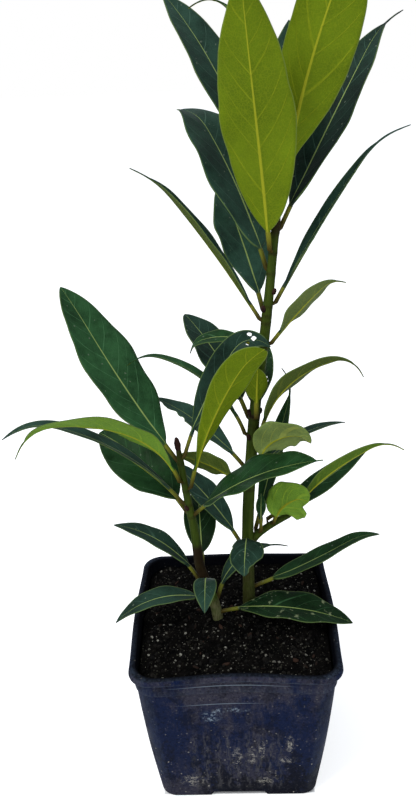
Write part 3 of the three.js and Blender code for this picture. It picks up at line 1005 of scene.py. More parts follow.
@dataclass(frozen=True)
class PlasticFinish:
    """Navy moulded plastic under a film of grey dust, with stains and dried splashes; light streaks
    and lighter edges that are partly scratches and abrasion and partly painted highlights; and
    painted shade inside.
    """

    navy: Colour = (0.0030, 0.0095, 0.041)
    black: Colour = (0.0014, 0.0020, 0.0050)
    film: Colour = (0.037, 0.036, 0.054)
    # near black for the rim's top and painted shade down the inside of the pot
    rim: Colour = (0.0016, 0.0020, 0.0036)
    # lighter blue for the edges: partly abrasion, partly painted highlight
    wear_highlight: Colour = (0.050, 0.068, 0.105)
    # blue-white of the light streaks: partly scratches, partly painted highlight
    scuff_highlight: Colour = (0.30, 0.38, 0.46)
    streak: Colour = (0.090, 0.088, 0.094)
    splash: Colour = (0.43, 0.41, 0.36)
    splashes: tuple[Patch, ...] = (
        Patch(-0.0004, 0.0262, 0.0024, 0.0070),
        Patch(0.0061, 0.0277, 0.0020, 0.0050),
        Patch(0.0105, 0.0317, 0.0014, 0.0060),
        Patch(0.0219, 0.0250, 0.0036, 0.0022),
        Patch(0.0227, 0.0350, 0.0018, 0.0055),
        Patch(-0.0206, 0.0112, 0.0056, 0.0040),
        Patch(0.0125, 0.0110, 0.0050, 0.0022),
    )
    # blue-white streaks and thin light lines: partly scratches, partly painted highlights
    scuff_highlights: tuple[Patch, ...] = (
        Patch(-0.0106, 0.0529, 0.0040, 0.0034),
        Patch(-0.0030, 0.0560, 0.0080, 0.0013),
    )
    lines: tuple[Patch, ...] = (
        Patch(-0.0070, 0.0598, 0.0170, 0.00022),
        Patch(-0.0020, 0.0704, 0.0260, 0.00025),
    )
    gloss: float = 0.05

    def most(self, pen: Pen, patches: tuple[Patch, ...], places: Socket) -> Socket:
        """The largest share of several patches at each place.

        Args:
            pen: A pen in the material.
            patches: The patches.
            places: The piece's coordinates.

        Returns:
            The share.
        """
        front = pen.span(pen.split(places)[1], -0.030, -0.028, 1.0, 0.0)
        total = patches[0].share(pen, places, front)
        for patch in patches[1:]:
            total = pen.math("MAXIMUM", total, patch.share(pen, places, front))
        return total

    def dust(self, pen: Pen, places: Socket, clouds: object, streaks: object) -> Socket:
        """How much dust lies on the plastic: clouds and upright streaks, with more in the middle
        of each side, low down and on the band.

        Args:
            pen: A pen in the material.
            places: The piece's coordinates.
            clouds: The clouds' mask.
            streaks: The streaks' mask.

        Returns:
            The cover, from about 0 to 2.
        """
        x, y, z = pen.split(places)
        along = pen.math("MINIMUM", pen.math("ABSOLUTE", x), pen.math("ABSOLUTE", y))
        cover = pen.math("MULTIPLY_ADD", streaks, 0.6, pen.times(clouds, 0.5))
        for value, low, high, start, end in (
            (along, 0.010, 0.030, 0.28, -0.08),
            (z, 0.0, 0.022, 0.18, 0.0),
            (z, 0.056, 0.068, 0.0, 0.42),
        ):
            cover = pen.plus(cover, pen.span(value, low, high, start, end))
        return cover

    def material(self, effects: Effects) -> Material:
        """Builds the material with the shared groups.

        Dust lies over the plastic, more of it in the left foot corner, and water has soaked it off
        low on the right. The inside and the rim's top are near black, painted shade inside the pot;
        the edges are lighter, partly from abrasion and partly painted highlight. The edge marks,
        the rib crests and the rim's top with the inside are values the mesh carries.

        Args:
            effects: The shared shader groups.

        Returns:
            The material.
        """
        material, pen, shader = new_material("pot_plastic")
        places = pen.places()
        x, _, z = pen.split(places)
        tall, squat = (pen.stretched(places, (1.0, 1.0, drawn)) for drawn in (0.28, 0.7))
        cloud = effects.blotches(pen, places, 62.0, 5.0)
        streaks = effects.blotches(pen, tall, 210.0, 4.0)
        stains = effects.blotches(pen, squat, 118.0, 5.0)
        dots = effects.spots(pen, places, 760.0, 0.36, 0.20)
        grit = pen.noise(places, 820.0, 4.0, 0.75)
        blotch = pen.span(pen.noise(places, 360.0, 3.0, 0.6), 0.42, 0.56, 0.08, 1.0)
        grain = pen.times(pen.span(pen.noise(places, 900.0, 5.0, 0.8), 0.47, 0.58), blotch)

        left, right = pen.span(x, -0.026, -0.010, 1.0, 0.0), pen.span(x, -0.020, -0.006)
        corner = pen.times(pen.span(z, 0.004, 0.020, 0.75, 0.0), left)
        cover = pen.plus(self.dust(pen, places, cloud["Mask"], streaks["Mask"]), corner)
        soaked = pen.times(pen.span(z, 0.003, 0.024, 0.80, 0.0), right)
        stain = pen.span(pen.plus(stains["Mask"], soaked), 0.48, 0.98, 0.0, 0.85)
        stain = pen.times(stain, pen.span(z, 0.002, 0.045, 1.0, 0.5))
        ridge = pen.times(pen.attribute("rib_crest"), pen.span(streaks["Fine"], 0.40, 0.60))
        speckle = pen.times(pen.span(grit, 0.54, 0.68), pen.span(cover, 0.3, 1.3, 0.10, 0.62))
        uneven = pen.span(streaks["Fine"], 0.36, 0.62, 0.15, 1.0)
        reach = pen.times(pen.span(cloud["Fine"], 0.46, 0.66), pen.span(z, 0.004, 0.062, 1.0, 0.2))
        splashes = pen.math(
            "MAXIMUM",
            pen.times(dots["Mask"], reach),
            pen.times(self.most(pen, self.splashes, places), grain),
        )
        # light streaks and lines: partly scratches, partly painted highlights
        rubbed_and_highlight = pen.math(
            "MAXIMUM",
            pen.times(self.most(pen, self.scuff_highlights, places), grain),
            pen.times(self.most(pen, self.lines, places), 0.5),
        )
        colour = pen.coats(
            self.navy,
            (pen.span(cover, 0.40, 1.35), 1.0, self.film),
            (pen.math("SUBTRACT", stain, corner), 1.0, self.black),
            (ridge, 0.62, self.streak),
            (speckle, 1.0, self.streak),
            (pen.span(grit, 0.34, 0.48, 0.7, 0.0), 1.0, self.black),
            # painted shade: near black over the rim's top and all down the inside
            (pen.attribute("rim_top"), 0.96, self.rim),
            # edges lighter: partly abrasion, partly painted highlight
            (pen.times(pen.attribute("bare_edge"), uneven), 1.0, self.wear_highlight),
            (splashes, 0.85, self.splash),
            (rubbed_and_highlight, 0.9, self.scuff_highlight),
        )
        rough = pen.span(cover, 0.2, 1.0, 0.36, 0.70)
        height = pen.math("MULTIPLY_ADD", splashes, 0.5, pen.times(grit, 0.6))
        pen.dress(shader, colour, rough, self.gloss, height, 0.16 * MM)
        return material


@dataclass(frozen=True)
class CompostFinish:
    """Moist near-black compost with brown crumbs and fine pale flecks."""

    black: Colour = (0.0008, 0.0008, 0.0009)
    brown: Colour = (0.0072, 0.0062, 0.0052)
    fleck: Colour = (0.14, 0.135, 0.105)
    dull: Colour = (0.035, 0.033, 0.022)
    gloss: float = 0.04

    def material(self, effects: Effects) -> Material:
        """Builds the material with the shared groups.

        Args:
            effects: The shared shader groups.

        Returns:
            The material.
        """
        material, pen, shader = new_material("compost")
        places = pen.places()
        crumbs = effects.blotches(pen, places, 240.0, 4.0)
        fine = effects.spots(pen, places, 1100.0, 0.42, 0.20)
        raised = pen.span(pen.split(places)[2], 0.0702, 0.0730)
        shade = pen.times(crumbs["Mask"], pen.math("MULTIPLY_ADD", raised, 0.8, 0.2))
        tint = pen.mix(fine["Shade"], self.dull, self.fleck)
        colour = pen.mix(shade, self.black, self.brown)
        colour = pen.coats(colour, (fine["Mask"], 0.7, tint))
        rough = pen.span(crumbs["Fine"], 0.3, 0.7, 0.75, 0.95)
        pen.dress(shader, colour, rough, self.gloss, crumbs["Mask"], 0.8 * MM)
        return material


@dataclass(frozen=True)
class ChipFinish:
    """Loose pieces in the compost, between a dark and a light shade by each piece's own draw."""

    name: str
    dark: Colour
    light: Colour
    gloss: float = 0.15

    def material(self, effects: Effects) -> Material:
        """Builds the material with the shared groups; the draw is the mesh's own value.

        Args:
            effects: The shared shader groups.

        Returns:
            The material.
        """
        material, pen, shader = new_material(self.name)
        mottle = effects.blotches(pen, pen.places(), 900.0, 3.0)
        colour = pen.mix(pen.attribute("draw"), self.dark, self.light)
        colour = pen.coats(colour, (mottle["Mask"], 0.55, self.dark))
        rough = pen.span(mottle["Fine"], 0.3, 0.7, 0.75, 0.95)
        pen.dress(shader, colour, rough, self.gloss, mottle["Fine"], 0.2 * MM)
        return material


# ---- Stems ----


@dataclass(frozen=True)
class StemLine:
    """The centre line of a stem through named points, with the radius at each of them."""

    points: tuple[Place, ...]
    radii: tuple[float, ...]
    steps: int = 4000
    nudge: float = 0.01

    def at(self, share: Array) -> Array:
        """Points on the line: a cubic from each named point to the next, its slope at each half
        the way between that point's neighbours, with both ends carried on straight.

        Args:
            share: Shares of the line, from 0 to 1, with the same span between named points.

        Returns:
            Shares by three axes.
        """
        named = np.array(self.points, float)
        padded = np.vstack([2 * named[0] - named[1], named, 2 * named[-1] - named[-2]])
        place = np.clip(np.atleast_1d(share), 0.0, 1.0) * (len(named) - 1)
        span = np.minimum(place.astype(int), len(named) - 2)
        w = (place - span)[:, None]
        before, start, end, after = (padded[span + k] for k in range(4))
        slope_start, slope_end = 0.5 * (end - before), 0.5 * (after - start)
        return (
            start
            + slope_start * w
            + (3 * (end - start) - 2 * slope_start - slope_end) * w**2
            + (2 * (start - end) + slope_start + slope_end) * w**3
        )

    def radius(self, share: Array) -> Array:
        """The radius, which changes evenly between named points."""
        return np.interp(share, np.linspace(0, 1, len(self.radii)), self.radii)

    def share_at(self, height: float) -> float:
        """The share of the line at a height above the pot's foot."""
        shares = np.linspace(0, 1, self.steps + 1)
        return float(np.interp(height, self.at(shares)[:, 2], shares))

    def direction(self, share: float) -> Array:
        """The line's unit direction at a share of it, from just before it to just after.

        Args:
            share: The share.

        Returns:
            The direction.
        """
        ends = [max(share - self.nudge, 0.0), min(share + self.nudge, 1.0)]
        before, after = self.at(np.array(ends))
        return unit(after - before)


STEM_FOOT = 40.0
STEM_LINES = {
    "main": StemLine(
        (
            (7, 7.5, STEM_FOOT), (7, 7.5, 56), (7, 7.5, 73), (7, 7.5, 90), (7, 7.5, 108),
            (7.6, 7.5, 125), (9, 7.5, 148), (11.5, 7.5, 176), (14.8, 7.5, 200), (17.3, 7.5, 221),
            (19.2, 7.5, 240), (20.5, 7.6, 251), (21.3, 7.8, 262), (21.7, 8, 268),
        ),
        (2.9, 2.9, 2.9, 2.7, 2.6, 2.6, 2.5, 2.3, 2.2, 1.9, 1.7, 1.5, 1.3, 0.8),
    ),
    "side": StemLine(
        (
            (7, 7.5, 106), (11, 8.3, 111), (16, 9.2, 114.6), (21, 10, 117.4),
            (25.5, 10.8, 119.6), (29.5, 11.5, 122),
        ),
        (1.9, 1.8, 1.6, 1.5, 1.4, 0.9),
    ),
    "left": StemLine(
        (
            (-7.5, 1, STEM_FOOT), (-7.5, 1, 50), (-7.5, 1, 60), (-7.6, 1, 72), (-9.5, 1, 82),
            (-12.5, 1, 92), (-14.8, 1, 101), (-15.6, 1, 111), (-16.6, 1, 122), (-18, 1, 131),
            (-19.4, 1, 142), (-20.5, 1, 152), (-21.4, 1, 160),
        ),
        (2.4, 2.4, 2.4, 2.4, 2.3, 2.2, 2.2, 2.1, 1.9, 1.7, 1.55, 1.45, 1.0),
    ),
}


@dataclass(frozen=True)
class Bud:
    """A bud in a leaf's axil, or at a stem's end where it has no azimuth."""

    line: str
    height: float
    azimuth: float | None
    length: float
    radius: float
    sunk: float = 0.3
    out_share: float = 0.6
    lean: float = 0.5
    scales: int = 3
    scale_rise: float = 0.16
    rows: int = 22
    sides: int = 24

    def skin(self, skin: Skin) -> None:
        """Adds the bud: a spindle with overlapping scales, wound round it as ridges that rise
        towards the tip and drop back, each three to a turn.

        Args:
            skin: The mesh that it is added to.
        """
        line = STEM_LINES[self.line]
        share = 1.0 if self.azimuth is None else line.share_at(self.height)
        along = line.direction(share)
        foot = line.at(np.array([share]))[0]
        if self.azimuth is None:
            aim = along
            foot = foot - self.sunk * self.length * along
        else:
            angle = np.radians(self.azimuth)
            out = np.array([np.cos(angle), np.sin(angle), 0.0])
            foot = foot + out * self.out_share * line.radius(np.array(share))
            aim = unit(along + self.lean * out)
        t = np.linspace(0.02, 0.995, self.rows)[:, None]
        turn = np.linspace(0, 2 * np.pi, self.sides, endpoint=False)
        spindle = np.sqrt(np.clip(4 * t * (1 - t) * (1 - 0.35 * t), 0, None))
        scale = np.mod(self.scales * t + self.scales * turn / (2 * np.pi), 1.0)
        radius = self.radius * spindle * (1 + self.scale_rise * scale**2)
        ring = round_axis(aim, turn) * radius[..., None]
        skin.add_grid(foot + aim * (self.length * t)[..., None] + ring, slot=1)


@dataclass
class Stem:
    """One stem with its branches and buds, thicker and browner where leaves are or were."""

    name: str
    lines: tuple[str, ...]
    buds: tuple[Bud, ...]
    rings: tuple[tuple[float, float], ...]
    brown: tuple[tuple[float, float, float], ...]
    tan_top: float = 0.0
    tan_share: float = 1.0
    ramp: float = 7.0
    sides: int = 30
    step: float = 0.8
    ring_height: float = 0.22
    ring_reach: float = 1.1
    unevenness: float = 0.035

    def rod(self, skin: Skin, key: str) -> Array:
        """Adds a round rod along a centre line, swollen where a leaf joins it.

        The radius is the line's own, plus a bell of ring_height at each ring, plus slight
        unevenness along the grain.

        Args:
            skin: The mesh that it is added to.
            key: The centre line's name.

        Returns:
            How brown each new point is, from 0 to 1.
        """
        line = STEM_LINES[key]
        length = np.linalg.norm(np.diff(line.at(np.linspace(0, 1, 200)), axis=0), axis=1).sum()
        share = np.linspace(0, 1, int(length / self.step))
        centre = line.at(share)
        height = centre[:, 2]
        along = unit(np.gradient(centre, axis=0))
        turn = np.linspace(0, 2 * np.pi, self.sides, endpoint=False)
        radius = line.radius(share)
        brown = np.zeros(len(share))
        for middle, strength in self.rings:
            bell = np.exp(-(((height - middle) / self.ring_reach) ** 2))
            radius = radius + self.ring_height * strength * bell
            brown = np.maximum(brown, strength * bell)
        for low, high, strength in self.brown:
            ramp = min(self.ramp, high - low)
            above = smooth_step((height - low) / ramp + 0.5)
            below = smooth_step((high - height) / ramp + 0.5)
            brown = np.maximum(brown, strength * (above * below))
        cos, sin = np.cos(turn), np.sin(turn)
        place = np.broadcast_arrays(cos * 1.3, sin * 1.3, height[:, None] * 0.12)
        uneven = 1 + self.unevenness * value_noise(np.stack(place, -1), Seed.BARK)
        ring = round_axis(along, turn) * (radius[:, None] * uneven)[..., None]
        skin.add_grid(centre[:, None] + ring)
        return np.append(np.repeat(brown, self.sides), [brown[0], brown[-1]])

    def build(self, bark: Material, scales: Material) -> bpy.types.Object:
        """Builds the stem over its solid.

        Args:
            bark: The stem's material.
            scales: The buds' material.

        Returns:
            The piece.
        """
        skin = Skin()
        brown = [self.rod(skin, key) for key in self.lines]
        for entry in self.buds:
            entry.skin(skin)
        values = np.concatenate(brown)
        mesh = skin.mesh(self.name + "_skin")
        set_point_values(mesh, "brownness", np.append(values, np.zeros(skin.count - len(values))))
        heights = np.concatenate(skin.points)[:, 2]
        tan = self.tan_share * smooth_step((self.tan_top - heights) / self.ramp + 0.5)
        set_point_values(mesh, "tan", tan)
        return finished_piece(mesh, "stem_bark", [bark, scales], self.name)


# ---- Leaves ----


@dataclass(frozen=True)
class Leaf:
    """One leaf with its petiole: angles in degrees, azimuth 0 along +X and 90 along +Y.

    The midrib starts at its height on the stem, rises by rise and bends down by bend, turns by
    sweep and rolls by roll on its way; each half of the blade is folded up by fold, and curl
    bends the tip further. Full below 0.8 is rounder, belly is the share of the length where the
    blade is widest, tail the share that is a thin drip tip. A bite gives the share of the length,
    its reach along, its depth as a share of the half width, and the side, 1 for left.
    """

    name: str
    stem: str
    height: float
    azimuth: float
    rise: float
    petiole: float
    length: float
    width: float
    bend: float = 0.0
    sweep: float = 0.0
    roll: float = 0.0
    fold: float = 10.0
    curl: float = 0.0
    belly: float = 0.48
    full: float = 0.8
    tail: float = 0.0
    upper: UpperTone = UpperTone.DEEP
    under: UnderTone = UnderTone.OLIVE
    # shade: partly the leaf's own lightness, partly painted light and shade for how it is lit
    shade: float = 1.0
    scars: float = 0.0
    bites: tuple[tuple[float, float, float, int], ...] = ()
    holes: tuple[tuple[float, float, float], ...] = ()


@dataclass(frozen=True)
class LeafMaker:
    """Builds leaves: what all of them share.

    The ridge above the midrib and the rib below it are given by height and reach, the side
    veins by height and sharpness; crease softens the fold along the midrib, crowd draws a
    row's points towards it. A leaf's root starts root_out of the radius from the stem's centre
    line and root_down below the leaf's height, and bends at the knee. Side veins lie vein_pitch
    apart, lean forward by vein_lean and bend on by vein_bend.
    """

    clearance: float = 0.3
    bridge_rows: int = 4
    petiole_rows: int = 8
    fewest_rows: int = 26
    petiole_half_width: float = 0.9
    petiole_thickness: float = 1.6
    petiole_edge: float = 0.8
    blade_thickness: float = 0.46
    blade_edge: float = 0.30
    tip_half_width: float = 0.22
    row_step: float = 0.85
    across: int = 11
    hole_finer: int = 3
    wavy_width: float = 22.0
    waves: int = 3
    wave_share: float = 0.033
    twist_end: float = 0.35
    curl_start: float = 0.72
    steps: int = 400
    crease: float = 0.03
    dome: float = 0.007
    ridge: tuple[float, float] = (0.16, 0.45)
    rib: tuple[float, float] = (0.62, 0.55)
    vein: tuple[float, float] = (0.06, 16.0)
    swell: float = 0.16
    swell_rows: int = 8
    blade_start: float = 0.15
    root_out: float = 0.35
    root_down: float = 1.2
    knee: float = 0.55
    crowd: float = 1.35
    ripple: float = 0.022
    ripple_length: float = 6.0
    raggedness: float = 0.25
    vein_pitch: float = 12.0
    fewest_veins: float = 4.0
    vein_lean: float = 1.15
    vein_bend: float = 0.60
    vein_spread: float = 0.55

    def midrib(self, leaf: Leaf) -> tuple[Array, ...]:
        """The midrib with the blade's left and upper directions.

        Its direction climbs by rise less bend times the share, less curl eased in after
        curl_start, and heads for azimuth plus sweep times the share; its points are the sum of
        that direction along it.

        Args:
            leaf: The leaf.

        Returns:
            Shares, points, left directions, upper directions, and a point inside the stem.
        """
        line = STEM_LINES[leaf.stem]
        share = line.share_at(leaf.height)
        along = line.direction(share)
        foot = line.at(np.array([share]))[0]
        first = np.radians(leaf.azimuth)
        out = np.array([np.cos(first), np.sin(first), 1.0])
        out = unit(out - along * (out @ along))
        x = np.linspace(0, 1, self.steps + 1)
        eased = smooth_step((x - self.curl_start) / (1 - self.curl_start))
        climb = np.radians(leaf.rise - leaf.bend * x - leaf.curl * eased)
        heading = np.radians(leaf.azimuth + leaf.sweep * x)
        level, east, north = np.cos(climb), np.cos(heading), np.sin(heading)
        ahead = np.stack([level * east, level * north, np.sin(climb)], -1)
        left = np.stack([-north, east, np.zeros_like(x)], -1)
        upper = np.cross(ahead, left)
        reach = abs(out @ upper[0]) * self.petiole_thickness / 2
        reach += abs(out @ left[0]) * self.petiole_half_width
        radius = float(line.radius(np.array(share)))
        start = foot + out * (radius + self.clearance + reach)
        step = (leaf.petiole + leaf.length) / self.steps
        walked = np.vstack([np.zeros(3), np.cumsum((ahead[1:] + ahead[:-1]) / 2 * step, axis=0)])
        twist = np.radians(leaf.roll * np.minimum(x / self.twist_end, 1))[:, None]
        turned_left = left * np.cos(twist) + upper * np.sin(twist)
        turned_upper = upper * np.cos(twist) - left * np.sin(twist)
        inside = foot + out * self.root_out * radius - along * self.root_down
        return x, start + walked, turned_left, turned_upper, inside

    def half_width(self, leaf: Leaf, t: Array) -> Array:
        """Half the blade's width: a sine hump moved to its belly and filled out by full, or a
        thin strip that carries the petiole on into the blade, where that is wider.

        Args:
            leaf: The leaf.
            t: Shares of the blade's length.

        Returns:
            Millimetres for each share.
        """
        share = np.minimum(t / (1 - leaf.tail), 1)
        moved = share ** (np.log(0.5) / np.log(leaf.belly))
        hump = np.clip(np.sin(np.pi * moved), 0, 1) ** leaf.full
        strip = self.petiole_half_width + (0.5 - self.petiole_half_width) * smooth_step(t / 0.08)
        strip = strip + (self.tip_half_width - 0.5) * smooth_step((t - 0.85) / 0.15)
        return np.maximum(leaf.width / 2 * hump, strip)

    def vein_count(self, leaf: Leaf) -> float:
        """How many pairs of side veins: one for each vein_pitch and one more, or the fewest."""
        return max(self.fewest_veins, round(leaf.length / self.vein_pitch) + 1.0)

    def phase(self, leaf: Leaf, t: Array, rib: Array, half: Array, side: Array) -> Array:
        """The side veins' phase: it grows by one from vein to vein. A vein leaves the midrib at
        an acute angle and bends on towards the tip as it nears the margin.

        Args:
            leaf: The leaf.
            t: Shares of the blade's length.
            rib: Distances from the midrib.
            half: Half widths.
            side: 1 left of the midrib and -1 right of it.

        Returns:
            The phases.
        """
        share = rib / np.maximum(half, 0.3)
        bend = self.vein_bend * half * share**3
        along = (t * leaf.length - self.vein_lean * rib - bend) / leaf.length
        offset = 0.23 * side + 0.37 * np.sin(leaf.height)
        wander = 0.20 * np.sin(11.0 * along + leaf.height + side)
        wander = wander + 0.09 * np.sin(23.0 * along + 2.0 * side)
        return self.vein_count(leaf) * along + offset + wander

    def spine(self, leaf: Leaf, finer: int) -> tuple[Array, ...]:
        """The rows along a leaf: a bridge out of the stem, the petiole and the blade.

        The bridge is a quadratic curve from a point inside the stem to the petiole's start.

        Args:
            leaf: The leaf.
            finer: How many times closer than usual the blade's rows lie.

        Returns:
            Each row's share of the whole length, its point and its left and upper directions.
        """
        x, line, left_axis, upper_axis, inside = self.midrib(leaf)
        petiole = leaf.petiole / (leaf.petiole + leaf.length)
        blade_rows = max(self.fewest_rows, int(leaf.length * finer / self.row_step))
        blade = petiole + (1 - petiole) * np.linspace(0, 1, blade_rows + 1)
        shares = np.concatenate([np.linspace(0, petiole, self.petiole_rows + 1)[:-1], blade])
        point, left, upper = (
            np.stack([np.interp(shares, x, table[:, k]) for k in range(3)], -1)
            for table in (line, left_axis, upper_axis)
        )
        bridge = np.linspace(0, 1, self.bridge_rows + 1)[:-1][:, None]
        knee = (1 - self.knee) * inside + self.knee * point[0]
        root = inside * (1 - bridge) ** 2 + 2 * bridge * (1 - bridge) * knee + point[0] * bridge**2
        left, upper = (
            np.vstack([np.repeat(axes[:1], self.bridge_rows, 0), axes])
            for axes in (unit(left), unit(upper))
        )
        shares = np.concatenate([np.zeros(self.bridge_rows), shares])
        return shares, np.vstack([root, point]), left, upper

    def outline(self, leaf: Leaf, t: Array, u: Array, side: Array) -> Array:
        """Half the width at each place of the grid, rippled by noise and notched by bites.

        A bite takes its depth off at its middle and eases out over its reach, ragged by noise.

        Args:
            leaf: The leaf.
            t: Shares of the blade's length.
            u: Places across, from -1 to 1.
            side: 1 left of the midrib and -1 right of it.

        Returns:
            Half widths.
        """
        place = np.stack([t * leaf.length / self.ripple_length + leaf.height, side * 3.0], -1)
        ripple = 1 + self.ripple * value_noise(place, Seed.MARGIN) * smooth_step(t / 0.1)
        for middle, reach, depth, which in leaf.bites:
            notch = np.clip(1 - np.abs((t - middle) / reach), 0, 1) ** 0.6
            tear = np.stack([t * 40.0, np.full_like(u, middle * 9)], -1)
            ragged = 1 + self.raggedness * value_noise(tear, Seed.BITE)
            ripple = ripple * np.where(side == which, 1 - depth * notch * ragged, 1.0)
        return self.half_width(leaf, t) * ripple

    def build(self, leaf: Leaf, materials: list[Material]) -> bpy.types.Object:
        """Builds one leaf over its solid.

        Each row is a ring across the midrib: the upper face's points from the right margin to
        the left, then the lower face's back again. The two faces lie half the thickness off the
        blade's middle surface, along its normal; the midrib is a low ridge above and a round rib
        below that thins to the tip, and the blade domes a little between its side veins.

        Args:
            leaf: The leaf.
            materials: The upper side's material and the underside's.

        Returns:
            The piece.
        """
        finer = self.hole_finer if leaf.holes else 1
        shares, point, left, upper = self.spine(leaf, finer)
        past = shares * (leaf.petiole + leaf.length)
        rows = np.clip((past - leaf.petiole) / leaf.length, 0, 1)
        even = np.linspace(-1, 1, 2 * self.across * finer + 1)
        t, u = np.meshgrid(rows, np.sign(even) * np.abs(even) ** self.crowd, indexing="ij")
        side = np.where(u >= 0, 1.0, -1.0)
        half = self.outline(leaf, t, u, side)
        rib = np.abs(u) * half
        phase = self.phase(leaf, t, rib, half, side)
        cos, sin = np.cos(np.radians(leaf.fold)), np.sin(np.radians(leaf.fold))
        slant = np.sqrt(u**2 + self.crease**2)
        turn = 2 * np.pi * (self.waves * t + np.where(u > 0, 0.5, 0.0)) + leaf.height
        wave = self.wave_share * min(1.0, leaf.width / self.wavy_width) * 2 * half * np.sin(turn)
        dome = self.dome * leaf.width * np.sin(np.pi * phase) ** 2
        dome = dome * 4 * np.abs(u) * (1 - np.abs(u)) * smooth_step(t / 0.1)
        rise = (slant - self.crease) * half * sin + np.where(t > 0, wave * u**2, 0) + dome
        centre = (
            point[:, None]
            + left[:, None] * (u * half * cos)[..., None]
            + upper[:, None] * rise[..., None]
        )
        normal = upper[:, None] * cos - left[:, None] * (u / slant * sin)[..., None]
        above, below = self.thickness(t, u, rib, phase)
        rings = np.concatenate(
            [centre + normal * above[..., None], (centre - normal * below[..., None])[:, ::-1]],
            axis=1,
        )
        shown = np.where(rows > 0, rows, np.minimum(past / leaf.petiole - 1, 0))
        return self.finish(leaf, rings, (t, u, half), shown, materials)

    def thickness(self, t: Array, u: Array, rib: Array, phase: Array) -> tuple[Array, Array]:
        """How far the two faces stand off the middle surface.

        The petiole is a lens; over blade_start it passes into a flat blade with a ridge above
        its midrib, a rib below and a low bell under each side vein; its foot swells by swell.

        Args:
            t: Shares of the blade's length.
            u: Places across, from -1 to 1.
            rib: Distances from the midrib.
            phase: The side veins' phases.

        Returns:
            Distances of the upper face and of the lower one.
        """
        lens = self.petiole_edge + (self.petiole_thickness - self.petiole_edge) * (1 - u**2)
        flat = self.blade_edge + (self.blade_thickness - self.blade_edge) * (1 - u**2)
        flat = flat * (1 - 0.3 * t)
        thin = (1 - t) ** 0.7
        ridge, keel = (
            height * np.exp(-((rib / reach) ** 2)) * thin
            for height, reach in (self.ridge, self.rib)
        )
        vein = self.vein[0] * np.exp(-(((phase % 1 - 0.5) * self.vein[1]) ** 2))
        blade = np.minimum(t / self.blade_start, 1)
        swell = np.ones(len(t))
        swell[: self.swell_rows] += self.swell * np.cos(np.linspace(0, np.pi / 2, self.swell_rows))
        above, below = (
            (lens / 2 + (face - lens / 2) * blade) * swell[:, None]
            for face in (flat / 2 + ridge, flat / 2 + keel + vein)
        )
        return above, below

    def finish(
        self,
        leaf: Leaf,
        rings: Array,
        grid: tuple[Array, ...],
        shown: Array,
        materials: list[Material],
    ) -> bpy.types.Object:
        """Joins a leaf's rings into its closed skin, opens its holes and stores what its
        materials read.

        Args:
            leaf: The leaf.
            rings: Rows by ring points by three axes.
            grid: The share of the blade, the place across and the half width, row by row.
            shown: Each row's share of the blade, or from -1 to 0 along the petiole.
            materials: The upper side's material and the underside's.

        Returns:
            The piece.
        """
        t, u, half = grid
        rows, ring = rings.shape[:2]
        across = ring // 2
        ring_u = np.concatenate([u[0], u[0][::-1]])
        quads = grid_quads(rows, ring, True)[:, [0, 3, 2, 1]]
        row, column = np.divmod(quads[:, 0], ring)
        under = (column >= across) & (column < ring - 1)
        middle_u = (ring_u[column] + ring_u[(column + 1) % ring]) / 2
        middle_t = (t[row, 0] + t[np.minimum(row + 1, rows - 1), 0]) / 2
        middle_half = half[row, across // 2]
        gone = np.zeros(len(quads), bool)
        for hole_t, hole_u, reach in leaf.holes:
            far = np.hypot((middle_t - hole_t) * leaf.length, (middle_u - hole_u) * middle_half)
            gone |= (far < reach) & (column != across - 1) & (column != ring - 1)
        taken = np.zeros((rows, ring), bool)
        taken[row[gone], column[gone]] = True
        walls = self.hole_walls(taken)
        quads = np.concatenate([quads[~gone], walls])
        under = np.concatenate([under[~gone], np.zeros(len(walls), bool)])
        middle_u = np.concatenate([middle_u[~gone], ring_u[walls[:, 0] % ring]])
        near = np.arange(across - 1)
        cap = np.stack([near, ring - 1 - near, ring - 2 - near, near + 1], -1)
        caps = np.concatenate([cap[:, ::-1], (rows - 1) * ring + cap])
        skin = Skin()
        skin.add_points(rings)
        skin.add_faces(quads, under.astype(int))
        skin.add_faces(caps)
        mesh = skin.mesh(leaf.name + "_blade")

        row, column = np.divmod(np.concatenate([quads, caps]), ring)
        side = np.where(np.append(middle_u, np.zeros(len(caps))) >= 0, 1.0, -1.0)
        side = np.repeat(side[:, None], 4, 1)
        corner_half = half[row, np.where(column < across, column, ring - 1 - column)]
        rib = np.abs(ring_u[column]) * corner_half
        phase = self.phase(leaf, t[row, 0], rib, corner_half, side)
        spacing = np.full_like(rib, self.vein_spread * leaf.length / self.vein_count(leaf))
        for name, values in (
            ("rib_place", (rib, corner_half - rib, phase)),
            ("blade_place", (shown[row], spacing, corner_half)),
        ):
            set_corner_vectors(mesh, name, np.stack(values, -1))
        # shade carries each leaf's lightness, partly its own tone and partly painted light and
        # shade
        for name, value in (("shade", leaf.shade), ("scars", leaf.scars)):
            set_point_values(mesh, name, np.full(len(mesh.vertices), value))
        layer = mesh.uv_layers.new(name="blade")
        spread = np.stack([rib * side, t[row, 0] * leaf.length], -1) * 0.01 + 0.5
        layer.data.foreach_set("uv", spread.astype(np.float32).ravel())
        return finished_piece(mesh, "leaf", materials, leaf.name)

